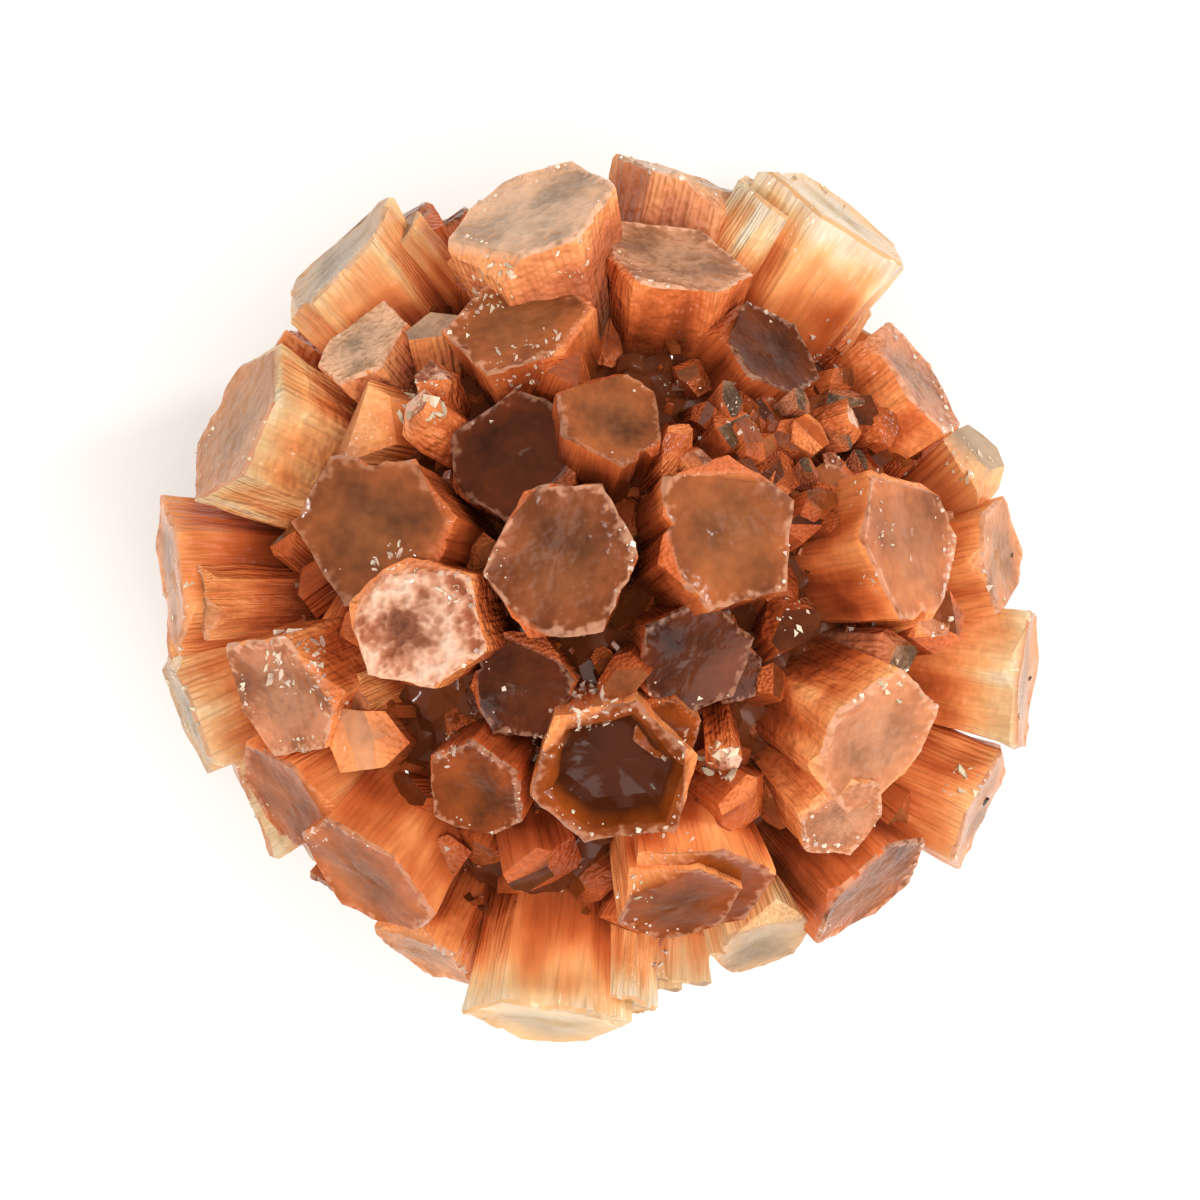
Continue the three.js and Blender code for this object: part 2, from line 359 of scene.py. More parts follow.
# One letter for each look, so that a row of a table stays short.
M, B, S, D, R, P = Tint.MAUVE, Tint.BROWN, Tint.RUSSET, Tint.DUSKY, Tint.RUST, Tint.PINK
F, C, A, E, L, O = Tint.FROSTED, Tint.CREAM, Tint.AMBER, Tint.PEACH, Tint.CLEAR, Tint.OLIVE
H, Y, N, T, G, Q = Tint.HAZY, Tint.MISTY, Tint.HONEY, Tint.EMBER, Tint.GLOWING, Tint.ROSE
FLAT, STEPPED, HOLLOW, CHIPPED = EndKind

UPPER_PRISMS = from_rows(
    Prism.above,
    (-1.9, 1.9, 19.7, 6.9, 6.7, 4, M),
    (5.5, 2.9, 19.5, 6.4, 6.5, 23, B),
    (-8.0, -1.1, 20.2, 5.8, 6.9, 42, F, CHIPPED),
    (-9.9, 3.3, 18.9, 6.6, 8.4, 0, B),
    (-3.8, 6.4, 16.9, 6.2, 5.6, 30, D),
    (0.7, 8.0, 18.7, 5.0, 4.9, 35, B),
    (4.1, -2.6, 17.6, 5.6, 4.8, 20, D),
    (0.6, -7.6, 18.9, 7.1, 6.4, 15, G, HOLLOW),
    (-5.7, -8.4, 17.9, 4.6, 5.0, 30, S),
    (-3.6, -3.8, 16.9, 4.8, 4.6, 5, D),
    (4.4, -13.0, 18.9, 6.9, 5.8, 20, G, STEPPED),
    (-2.2, -18.8, 20.3, 7.2, 5.4, 0, A),
    (12.2, -6.3, 19.3, 6.6, 6.2, 20, P),
    (13.8, 2.3, 19.3, 7.0, 5.8, 5, Q),
    (19.1, -3.6, 20.2, 6.6, 5.2, -10, E),
    (17.1, -9.2, 19.9, 5.9, 5.2, 35, N),
    (11.9, -13.0, 19.1, 6.6, 5.2, 40, B),
    (7.2, -15.4, 18.4, 4.8, 3.8, 25, L),
    (14.2, 9.8, 18.9, 6.0, 5.2, 35, Q),
    (17.1, 6.3, 18.9, 3.8, 3.8, 20, L),
    (17.9, 1.9, 19.1, 5.2, 4.6, 10, N),
    (10.8, 17.3, 20.9, 8.0, 6.4, 55, A),
    (3.3, 15.2, 18.7, 6.6, 5.8, 0, H),
    (3.7, 19.0, 19.9, 5.8, 5.2, 0, Y),
    (-3.3, 17.2, 20.4, 7.8, 8.2, 10, Y, CHIPPED),
    (-11.9, 15.2, 20.1, 6.8, 4.9, 40, L),
    (-10.6, 11.4, 18.2, 4.6, 4.4, 15, Y),
    (-16.1, 8.0, 20.1, 7.5, 6.2, 60, C),
    (-19.2, 1.1, 20.0, 6.5, 5.2, 30, N),
    (-18.4, -5.3, 19.6, 5.8, 4.8, 20, L),
    (-14.1, -4.3, 19.2, 5.9, 5.8, 10, Q, CHIPPED),
    (-13.9, -8.9, 18.8, 5.6, 5.2, 0, T),
    (-10.6, -12.3, 19.2, 6.8, 5.8, 45, T),
    (-7.9, -15.9, 18.6, 4.4, 3.8, 30, N),
    (7.6, 11.1, 17.3, 5.2, 4.6, 45, D),
    (-3.5, 12.3, 18.3, 6.4, 4.9, 5, B),
)

UPPER_CHIPS = from_rows(
    Prism.above,
    (3.4, 6.9, 18.2, 1.5, 2.7, 0, R),
    (-8.3, 8.2, 18.0, 2.2, 2.4, 20, F),
    (-7.2, 9.9, 17.7, 1.9, 2.0, 50, F),
    (-7.4, 12.4, 17.7, 2.6, 2.8, 5, Y),
    (6.0, 7.6, 17.5, 2.2, 1.9, 10, O),
    (9.4, 7.4, 17.8, 2.2, 1.6, 30, R),
    (7.8, 5.6, 17.3, 2.0, 1.9, 45, D),
    (11.3, 8.1, 17.3, 2.1, 2.2, 0, D),
    (10.4, 5.3, 17.2, 2.1, 2.0, 25, B),
    (8.4, -0.9, 17.4, 2.6, 2.8, 15, D),
    (-1.3, 10.3, 17.4, 3.0, 2.0, 40, R),
    (-7.3, -11.6, 17.3, 2.8, 2.6, 10, B),
    (-2.6, -12.2, 17.2, 3.4, 3.0, 35, D),
    (5.4, -7.2, 17.9, 1.7, 1.9, 20, F),
    (13.3, -10.0, 17.9, 2.8, 2.8, 50, B),
    (13.2, -2.4, 18.4, 2.4, 2.2, 5, O),
    (-5.9, 15.6, 18.0, 2.2, 2.4, 30, Y),
)

SIDE_GROWTHS = from_rows(Prism.above, (10.9, -9.7, 19.1, 4.4, 4.2, 50, P))

LATE_GROWTHS = from_rows(
    Prism.above,
    (15.3, -0.9, 19.0, 2.4, 3.0, 20, S),
    (0.9, -3.4, 17.9, 2.4, 2.0, 15, B),
    (-10.9, 7.9, 17.6, 3.4, 2.8, 10, N),
    (-10.5, -6.2, 18.0, 3.7, 3.4, 0, N),
    (6.4, -9.2, 17.7, 3.0, 2.4, 30, R),
)


@dataclass(frozen=True)
class Ring:
    """A ring of prisms round the lower part of the ball, in degrees and millimetres."""

    lift: float
    count: int
    first: float
    reach: float
    wide: float


LOWER_RINGS = (
    Ring(lift=-7, count=16, first=8, reach=17.9, wide=6.5),
    Ring(lift=-29, count=14, first=15, reach=18.7, wide=6.8),
    Ring(lift=-49.5, count=10, first=14, reach=19.1, wide=6.9),
    Ring(lift=-69, count=5, first=30, reach=19.6, wide=7.0),
)
LOWER_TINTS = (M, P, C, M, B, L, P, C, M, F)
FOOT = Prism(Vector((0, 0, -19.4)), 7.4, 7.0, 12, tint=P)
GAP_TINTS = (B, S, R, D, B, S)
FIELD_TINTS = (D, S, S, O, D, B, F, D, R, O, S)


@dataclass(frozen=True)
class Growth:
    """The driving dimensions of the whole ball, in millimetres and degrees.

    The mass is what the prisms have grown out of. Rings of prisms cover the lower half, small
    ones fill the gaps all round, and a field of rubble lies at the upper right.
    """

    mass_radius: float = 14.6
    mass_relief: float = 0.7
    mass_lumps: Vector = Vector((7, 6, 8))
    large: float = 4
    centre_spread: float = 1.8
    rubble_spread: float = 9.0
    twinned_share: float = 0.5

    fuller_side: float = 140
    fullness: float = 0.9
    ring_plan: float = 5
    ring_lift: float = 3
    ring_width: float = 0.12
    ring_reach: float = 0.7
    ring_stepped: float = 0.3
    ring_flatness: float = 0.9

    gap_count: int = 330
    gap_reach: Span = Span(14.4, 2.0)
    gap_width: Span = Span(1.2, 1.5)

    field_count: int = 46
    field_middle: Vector = Vector((9.0, 6.6))
    field_half_width: float = 5.0
    field_half_depth: float = 3.4
    field_reach: Span = Span(16.2, 1.7)
    field_width: Span = Span(0.9, 1.3)

    def ring_prism(self, number: int, k: int, ring: Ring) -> Prism:
        """Places one prism of a ring.

        Args:
            number: The prism's number in the whole ball.
            k: Its place in the ring.
            ring: The ring.

        Returns:
            The prism.
        """
        plan = ring.first + 360 * k / ring.count + self.ring_plan * swing(number, "plan")
        slope = ring.lift + self.ring_lift * swing(number, "lift")
        lean = self.fullness * math.cos(math.radians(plan - self.fuller_side))
        reach = ring.reach + lean + self.ring_reach * swing(number, "reach")
        stepped = chance(number, "end") < self.ring_stepped
        return Prism(
            end=direction(math.radians(plan), math.radians(slope)) * reach,
            wide=ring.wide * (1 + self.ring_width * swing(number, "wide")),
            deep=ring.wide * (self.ring_flatness + self.ring_width * swing(number, "deep")),
            corner=360 * chance(number, "corner"),
            kind=STEPPED if stepped else FLAT,
            tint=LOWER_TINTS[number % len(LOWER_TINTS)],
        )

    def gap_prism(self, number: int, k: int) -> Prism:
        """Places one of the small prisms that are spread over the whole ball.

        Args:
            number: The prism's number in the whole ball.
            k: Its place among the small ones.

        Returns:
            The prism.
        """
        slope = math.asin(1 - (2 * k + 1) / self.gap_count)
        width = self.gap_width.pick(number, "wide")
        return Prism(
            end=direction(k * GOLDEN_ANGLE, slope) * self.gap_reach.pick(number, "reach"),
            wide=width,
            deep=width,
            corner=360 * chance(number, "corner"),
            tint=GAP_TINTS[number % len(GAP_TINTS)],
        )

    def rubble_prism(self, number: int, k: int) -> Prism:
        """Places one small broken prism of the field between the larger ones.

        Args:
            number: The prism's number in the whole ball.
            k: Its place in the field.

        Returns:
            The prism.
        """
        aside = direction(k * GOLDEN_ANGLE) * math.sqrt((k + 0.5) / self.field_count)
        x = self.field_middle.x + aside.x * self.field_half_width
        y = self.field_middle.y + aside.y * self.field_half_depth
        reach = self.field_reach.pick(number, "reach")
        width = self.field_width.pick(number, "wide")
        tint = FIELD_TINTS[number % len(FIELD_TINTS)]
        return Prism.above(x, y, reach, width, width, 360 * chance(number, "corner"), tint)

    def prisms(self) -> list[Prism]:
        """Lists every prism. A prism's number is its place in this list.

        Returns:
            The prisms, from the top of the ball to its foot, and then those grown between.
        """
        grown = [*UPPER_PRISMS, *UPPER_CHIPS]
        for ring in LOWER_RINGS:
            for k in range(ring.count):
                grown.append(self.ring_prism(len(grown), k, ring))
        grown.append(FOOT)
        for k in range(self.gap_count):
            grown.append(self.gap_prism(len(grown), k))
        grown.extend(SIDE_GROWTHS)
        for k in range(self.field_count):
            grown.append(self.rubble_prism(len(grown), k))
        grown.extend(LATE_GROWTHS)
        return grown


@dataclass
class MasterCrystal:
    """A prism cut once, at true size, that the ball's prisms are copies of.

    It stands on its axis with its end at z = 0 and its root below. Lengths and heights are in
    millimetres, and the width at a height is a share of the full one.
    """

    number: int
    kind: EndKind = FLAT
    small: bool = False
    grooved: bool = False
    width: float = 6.5
    length: float = 10
    columns: int = 9
    taper_per_mm: float = 0.03
    side_heights: tuple[float, ...] = (-6.0, -3.6, -2.0, -0.9)
    small_height: float = -1.0

    corner_reach: float = 0.54
    corner_uneven: float = 0.09
    corner_skew: float = 8
    groove_start: float = 0.36
    groove_depth: float = 0.14
    groove_nearness: float = 0.8

    end_wear: float = 0.16
    end_rounding: float = 0.7
    end_drop: float = 0.07
    end_rings: tuple[float, ...] = (0.62, 0.34, 0.12)
    rim_width: float = 0.22
    ragged: float = 0.075
    dish: float = 0.12
    dish_share: float = 0.9
    hollow_share: float = 0.76
    hollow_depth: float = 1.7
    hollow_floor: float = 0.95
    hollow_steps: tuple[tuple[float, float], ...] = (
        (0.03, -0.06),
        (0.26, 0.02),
        (0.62, 0.09),
        (0.88, 0.22),
    )

    flute_depth: float = 0.3
    flute_size: float = 0.65
    flute_stretch: float = 30
    swell: float = 0.12
    swell_size: float = 1.7
    swell_start: float = -1.6

    chips: int = 2
    flake_reach: float = 0.455
    flake_slope: Span = Span(0.5, 1.2)
    flake_drop: Span = Span(0.25, 0.3)
    slant_reach: float = 0.16
    slant_slope: Span = Span(0.7, 1.3)

    piece: bpy.types.Object = field(init=False)
    section: tuple[float, float] = field(init=False)

    def build(self) -> None:
        """Cuts the crystal from a six-sided plate, root first, and roughens it."""
        deselect_all()
        bpy.ops.mesh.primitive_circle_add(
            vertices=6, radius=self.corner_reach * self.width, fill_type="NGON"
        )
        self.piece = bpy.context.object
        self.piece.name = f"master_{self.kind.value}_{self.number}"
        self.piece.data.attributes.new("share", "FLOAT", "POINT")
        bpy.ops.object.mode_set(mode="EDIT")
        self.place_corners()
        bpy.ops.mesh.select_all(action="SELECT")
        bpy.ops.mesh.subdivide(number_cuts=1 if self.small else self.columns - 1)
        if self.grooved:
            self.cut_groove()
        bpy.ops.mesh.select_all(action="SELECT")
        bpy.ops.transform.translate(value=(0, 0, -self.length))
        self.raise_sides()
        self.close_end()
        bpy.ops.mesh.select_all(action="SELECT")
        bpy.ops.mesh.normals_make_consistent(inside=False)
        bpy.ops.object.mode_set(mode="OBJECT")
        self.mark_places()
        if not self.small:
            self.roughen()
        for k in range(self.chips):
            self.knock_off(k)

    def edit_mesh(self) -> bmesh.types.BMesh:
        """The mesh as it is in edit mode."""
        return bmesh.from_edit_mesh(self.piece.data)

    def select_verts(self, chosen: list[bmesh.types.BMVert]) -> None:
        """Selects just these vertices of the mesh in edit mode.

        Args:
            chosen: The vertices.
        """
        bpy.ops.mesh.select_all(action="DESELECT")
        for vert in chosen:
            vert.select = True
        self.edit_mesh().select_flush(True)

    def place_corners(self) -> None:
        """Moves each of the six corners off its even place, so no two sides are alike."""
        mesh = self.edit_mesh()
        corners = sorted(mesh.verts, key=lambda vert: math.atan2(vert.co.y, vert.co.x) % TURN)
        for k, corner in enumerate(corners):
            skew = math.radians(self.corner_skew) * swing(self.number, f"skew {k}")
            uneven = 1 + self.corner_uneven * swing(self.number, f"reach {k}")
            wanted = direction(k * TURN / 6 + skew) * (self.corner_reach * self.width * uneven)
            offset = wanted - corner.co
            self.select_verts([corner])
            bpy.ops.transform.translate(value=offset)

    def cut_groove(self) -> None:
        """Pushes the middle of one side in, as the re-entrant groove of a twin."""
        mesh = self.edit_mesh()
        side = math.floor(6 * chance(self.number, "side"))
        middle = direction((side + 0.5) * TURN / 6)
        half = self.corner_reach * self.width / 2
        groove_half = 1 - 2 * self.groove_start
        across = Vector((-middle.y, middle.x, 0))
        for vert in list(mesh.verts):
            aside = abs(vert.co.dot(across)) / half
            near = vert.co.dot(middle) > self.groove_nearness * half
            if near and aside < groove_half:
                depth = self.groove_depth * self.width / 2 * (1 - aside / groove_half)
                self.select_verts([vert])
                bpy.ops.transform.translate(value=middle * -depth)

    def step(self, height: float, width: float) -> None:
        """Extrudes the selected end face to a new height and width.

        Args:
            height: The new height.
            width: The new width, as a share of the full one.
        """
        old_height, old_width = self.section
        bpy.ops.mesh.extrude_region_move(
            TRANSFORM_OT_translate={"value": (0, 0, height - old_height)}
        )
        share = width / old_width
        bpy.ops.transform.resize(value=(share, share, 1), center_override=(0, 0, height))
        mesh = self.edit_mesh()
        layer = mesh.verts.layers.float["share"]
        for vert in mesh.verts:
            if vert.select:
                vert[layer] = width
        self.section = (height, width)

    def raise_sides(self) -> None:
        """Draws the prism up from its root to the worn edge below its end."""
        heights = [self.small_height] if self.small else [*self.side_heights, -self.end_wear]
        start = 1 - self.taper_per_mm * self.length
        bpy.ops.transform.resize(value=(start, start, 1), center_override=(0, 0, -self.length))
        self.section = (-self.length, start)
        for height in heights:
            self.step(height, 1 + self.taper_per_mm * height)

    def close_end(self) -> None:
        """Closes the prism with its end: a worn edge, a rim, then rings to a dished middle."""
        if self.small:
            self.step(0, 1)
            return
        half = self.width / 2
        self.step(0, 1 - self.end_rounding * self.end_wear / half)
        rim = 1 - (self.end_wear + self.rim_width) / half
        if self.kind is HOLLOW:
            base = -self.hollow_floor * self.hollow_depth
            for depth, inset in self.hollow_steps:
                self.step(-depth * self.hollow_depth, self.hollow_share - inset)
        else:
            base = -self.end_drop
            self.step(base, rim)
        for share in self.end_rings:
            if share < self.section[1]:
                self.step(base - self.dish * (self.dish_share - share), share)
        bpy.ops.mesh.poke()
        self.fray_rim(rim)

    def fray_rim(self, inner: float) -> None:
        """Breaks up the edge between the end and the sides, as growth and knocks do.

        Args:
            inner: The share of the width inside which nothing moves.
        """
        lowest = -self.end_wear - 0.01
        least = (inner + 0.02) * self.width / 2
        chosen = []
        for vert in self.edit_mesh().verts:
            if vert.co.z > lowest and vert.co.xy.length > least:
                chosen.append(vert)
        self.select_verts(chosen)
        bpy.ops.transform.vertex_random(offset=self.ragged, seed=self.number + 1)

    def knock_off(self, k: int) -> None:
        """Breaks a flake off the rim, or slants the end of a small crystal.

        Args:
            k: Which of the crystal's flakes this is.
        """
        away = direction(TURN * chance(self.number, f"flake {k}"))
        if self.small:
            slope, reach, drop = self.slant_slope, self.slant_reach, 0.0
        else:
            slope, reach = self.flake_slope, self.flake_reach
            drop = self.flake_drop.pick(self.number, f"drop {k}")
        plane = (away + Vector((0, 0, slope.pick(self.number, f"slope {k}")))).normalized()
        cut_away(self.piece, away * (reach * self.width) - Vector((0, 0, drop)), plane)

    def mark_places(self) -> None:
        """Notes on each face corner where it is on the crystal.

        In "place", red is 1 on the end, green is the depth below the end in centimetres,
        blue grows from 0 in the middle of the end to 1 at its rim, and alpha grows from 0 in
        the middle of a side to 1 at its edges. "own" holds the corner's place along the
        crystal's own axes, in millimetres.
        """
        mesh = self.piece.data
        shares = [item.value for item in mesh.attributes["share"].data]
        if self.kind is HOLLOW:
            steepest, lowest = 0.05, -self.hollow_depth - 0.4
        else:
            steepest, lowest = 0.35, -0.3
        places, owns = [], []
        for face in mesh.polygons:
            on_end = float(face.normal.z > steepest and face.center.z > lowest)
            for index in face.vertices:
                spot = mesh.vertices[index].co
                outward = shares[index] if spot.xy.length > 0.01 else 0
                outward *= 0.6 if self.small else 1
                around = (math.atan2(spot.y, spot.x) / TURN * 6) % 1
                edge = 0 if self.small else abs(2 * around - 1) ** 3
                places.append((on_end, max(-spot.z, 0) / 10, outward, edge))
                owns.append((*spot, 1))
        mesh.attributes.remove(mesh.attributes["share"])
        for name, values in (("place", places), ("own", owns)):
            layer = mesh.attributes.new(name, "FLOAT_COLOR", "CORNER")
            layer.data.foreach_set("color", np.array(values).ravel())
        for name in ("crystal", "end_colour"):
            mesh.attributes.new(name, "FLOAT_COLOR", "CORNER")

    def roughen(self) -> None:
        """Flutes the sides along the axis and makes the end gently uneven."""
        guide = bpy.data.objects.new("guide", None)
        guide.location = Vector((11.0, 7.0, 3.0)) * self.number
        bpy.context.scene.collection.objects.link(guide)
        heights = [vert.co.z for vert in self.piece.data.vertices]
        sides = [k for k, z in enumerate(heights) if z < -0.9 * self.end_wear]
        end = [k for k, z in enumerate(heights) if z > self.swell_start]
        flutes = {"noise_scale": self.flute_size, "noise_depth": 1}
        swells = {"noise_scale": self.swell_size}
        for name, verts, stretch, pattern, settings in (
            ("sides", sides, self.flute_stretch, flutes, {"strength": self.flute_depth}),
            ("end", end, 1, swells, {"strength": self.swell, "direction": "Z"}),
        ):
            self.piece.vertex_groups.new(name=name).add(verts, 1, "REPLACE")
            guide.scale = (1, 1, stretch)
            bpy.context.view_layer.update()
            displace(
                self.piece,
                "CLOUDS",
                pattern,
                texture_coords="OBJECT",
                texture_coords_object=guide,
                vertex_group=name,
                **settings,
            )
        bpy.data.objects.remove(guide)


@dataclass
class CrystalBall:
    """The grown ball: copies of the master crystals, united and cut flat at the foot.

    What a twin, a ledge or a chip measures is a share of its prism's width, except for a
    twin's drop and a ledge's rise, which are in millimetres. The spreads say how far each
    copy strays from its tint's look.
    """

    growth: Growth = field(default_factory=Growth)
    twin_size: Span = Span(0.42, 0.16)
    twin_aside: float = 0.4
    twin_drop: Span = Span(0.7, 1.5)
    twin_kin: int = 3
    twin_numbers: int = 500
    ledge_share: float = 0.84
    ledge_rise: float = 0.30
    ledge_aside: float = 0.14
    chip_reach: float = 0.36
    chip_rise: float = 0.8
    end_slant: float = 0.10
    light_spread: float = 0.08
    look_spreads: tuple[tuple[str, float], ...] = (
        ("pale", 0.10),
        ("warm", 0.15),
        ("frost", 0.15),
    )
    pattern_row: int = 40
    pattern_steps: tuple[float, float] = (9.3, 7.7)
    rubble_size: float = 1.3
    rubble_depth: float = 1.5
    weather_size: float = 2.2
    weather_depth: float = 0.34
    smooth_below: float = 28
    masters: dict[str, list[MasterCrystal]] = field(default_factory=dict)
    copies: list[bpy.types.Object] = field(default_factory=list)
    piece: bpy.types.Object = field(init=False)

    def cut_masters(self) -> None:
        """Cuts each master crystal once."""
        flat = [MasterCrystal(n, grooved=n % 2 == 1) for n in range(8)]
        hollow = [MasterCrystal(10, kind=HOLLOW)]
        small = [
            MasterCrystal(n, small=True, width=3, corner_uneven=0.2, corner_skew=12, chips=3)
            for n in range(20, 26)
        ]
        self.masters = {"flat": flat, "hollow": hollow, "small": small}
        for group in self.masters.values():
            for master in group:
                master.build()

    def placement(self, number: int, end: Vector, spread: float) -> Matrix:
        """Turns and moves a standing prism so that its axis passes near the centre.

        Args:
            number: The prism's number.
            end: Where its end goes.
            spread: How far off the centre its axis may pass.

        Returns:
            The matrix that places it, with its width level, round the ball.
        """
        axis = (end - sway(number, "aim") * spread).normalized()
        level = Vector((-end.y, end.x, 0)) if end.xy.length > 0 else Vector((0, 1, 0))
        across = (level - axis * level.dot(axis)).normalized()
        upward = axis.cross(across)
        turn = Matrix((across, upward, axis)).transposed().to_4x4()
        return Matrix.Translation(end) @ turn

    def add_copy(self, master: MasterCrystal, matrix: Matrix, tint: Tint, number: int) -> None:
        """Copies a master crystal to its place with its own look and its own part of a pattern.

        Args:
            master: The crystal to copy.
            matrix: Where the copy goes.
            tint: The look that the copy's own one is near.
            number: The prism's number.
        """
        copy = master.piece.copy()
        copy.data = master.piece.data.copy()
        copy.data.transform(matrix)
        look = tint.value
        own_look = []
        for name, spread in self.look_spreads:
            wanted = getattr(look, name) + spread * swing(number, name)
            own_look.append(min(max(wanted, 0), 1))
        paint_all(copy, "crystal", (*own_look, look.glow))
        light = 1 + self.light_spread * swing(number, "light")
        paint_all(copy, "end_colour", (*(light * part for part in look.end), 1))
        own = copy.data.attributes["own"]
        spots = read_all(own.data, "color", 4, np.float32)
        spots[:, 0] += self.pattern_steps[0] * (number % self.pattern_row)
        spots[:, 1] += self.pattern_steps[1] * (number // self.pattern_row)
        own.data.foreach_set("color", spots.ravel())
        self.copies.append(copy)

    def chip(self, piece: bpy.types.Object, number: int, prism: Prism, place: Matrix) -> None:
        """Breaks one corner off a copy with a slanting cut.

        Args:
            piece: The copy to chip.
            number: The prism's number.
            prism: The prism.
            place: Where the copy stands.
        """
        side = direction(TURN * chance(number, "chip"))
        normal = place.to_3x3() @ (side + Vector((0, 0, self.chip_rise))).normalized()
        bpy.context.scene.collection.objects.link(piece)
        cut_away(piece, place @ (side * self.chip_reach * prism.wide), normal)
        bpy.context.scene.collection.objects.unlink(piece)

    def set_prism(self, number: int, prism: Prism) -> None:
        """Sets one prism, with its ledge or chip and its shorter twin.

        Args:
            number: The prism's number.
            prism: The prism.
        """
        large = prism.wide > self.growth.large
        group = "small" if not large else "hollow" if prism.kind is HOLLOW else "flat"
        kin = self.masters[group]
        master = kin[number % len(kin)]
        plan = math.atan2(prism.end.y, prism.end.x)
        turn = Matrix.Rotation(math.radians(prism.corner) - plan - TURN / 4, 4, "Z")
        spread = self.growth.centre_spread if large else self.growth.rubble_spread
        place = self.placement(number, prism.end, spread)

        slant = Matrix.Identity(4)
        slant[2][0] = self.end_slant * swing(number, "slant across")
        slant[2][1] = self.end_slant * swing(number, "slant up")

        parts = [(master, 1, Vector(), number)]
        if prism.kind is STEPPED:
            aside = direction(TURN * chance(number, "ledge")) * (self.ledge_aside * prism.wide)
            aside += Vector((0, 0, self.ledge_rise))
            parts.append((master, self.ledge_share, aside, number))
        if large and chance(number, "twinned") < self.growth.twinned_share:
            aside = direction(TURN * chance(number, "twin")) * (self.twin_aside * prism.wide)
            aside += Vector((0, 0, -self.twin_drop.pick(number, "twin drop")))
            twin = self.masters["flat"][(number + self.twin_kin) % len(self.masters["flat"])]
            share = self.twin_size.pick(number, "twin size")
            parts.append((twin, share, aside, number + self.twin_numbers))
        for model, share, aside, own_number in parts:
            size = Matrix.Diagonal(
                (share * prism.wide / master.width, share * prism.deep / master.width, 1, 1)
            )
            stand = place @ Matrix.Translation(aside) @ slant @ size @ turn
            self.add_copy(model, stand, prism.tint, own_number)
        if prism.kind is CHIPPED:
            self.chip(self.copies[-len(parts)], number, prism, place)

    def grow_mass(self) -> None:
        """Makes the lumpy mass in the middle, where the prisms have grown into each other."""
        deselect_all()
        bpy.ops.mesh.primitive_ico_sphere_add(subdivisions=6, radius=self.growth.mass_radius)
        self.piece = bpy.context.object
        self.piece.name = "aragonite_ball"
        for vert in self.piece.data.vertices:
            way = vert.co.normalized()
            waves = [math.sin(a * b) for a, b in zip(way, self.growth.mass_lumps)]
            lump = waves[0] * waves[1] * waves[2]
            vert.co = way * (self.growth.mass_radius + self.growth.mass_relief * lump)
        rubble = {"noise_scale": self.rubble_size}
        displace(
            self.piece, "VORONOI", rubble, texture_coords="LOCAL", strength=self.rubble_depth
        )
        # The mass is marked as deep on a side, so it takes the darkest side colours: dark stone
        # and painted shade between the prisms.
        mark_all(self.piece, (0, 0.5, 1, 0), (0.1, 0.8, 0.5, 0), S.value.end)

    def unite(self) -> None:
        """Joins the mass and every copy into one closed mesh."""
        group = bpy.data.collections.new("prisms")
        bpy.context.scene.collection.children.link(group)
        for copy in self.copies:
            group.objects.link(copy)
        apply_modifier(
            self.piece,
            "BOOLEAN",
            operation="UNION",
            operand_type="COLLECTION",
            collection=group,
            solver="MANIFOLD",
        )
        for copy in self.copies:
            bpy.data.objects.remove(copy)
        bpy.data.collections.remove(group)
        for masters in self.masters.values():
            for master in masters:
                bpy.data.objects.remove(master.piece)

    def weather(self) -> None:
        """Makes the whole surface gently uneven, so no two copies stay alike."""
        clouds = {"noise_scale": self.weather_size, "noise_depth": 1}
        displace(
            self.piece, "CLOUDS", clouds, texture_coords="LOCAL", strength=self.weather_depth
        )

    def flatten_foot(self) -> None:
        """Cuts the lowest ends flat, where the ball rests."""
        size = 4 * CENTRE_HEIGHT
        deselect_all()
        bpy.ops.mesh.primitive_cube_add(size=size, location=(0, 0, -CENTRE_HEIGHT - size / 2))
        below = bpy.context.object
        mark_all(below, (1, 0, 0.4, 0), (0.4, 0.8, 0.4, 0), P.value.end)
        apply_modifier(
            self.piece, "BOOLEAN", operation="DIFFERENCE", object=below, solver="MANIFOLD"
        )
        bpy.data.objects.remove(below)

    def build(self) -> bpy.types.Object:
        """Grows the ball.

        Returns:
            Its piece.
        """
        self.cut_masters()
        for number, prism in enumerate(self.growth.prisms()):
            self.set_prism(number, prism)
        self.grow_mass()
        self.unite()
        self.weather()
        self.flatten_foot()
        to_row_frame(self.piece)
        make_active(self.piece)
        bpy.ops.object.shade_smooth_by_angle(angle=math.radians(self.smooth_below))
        return self.piece


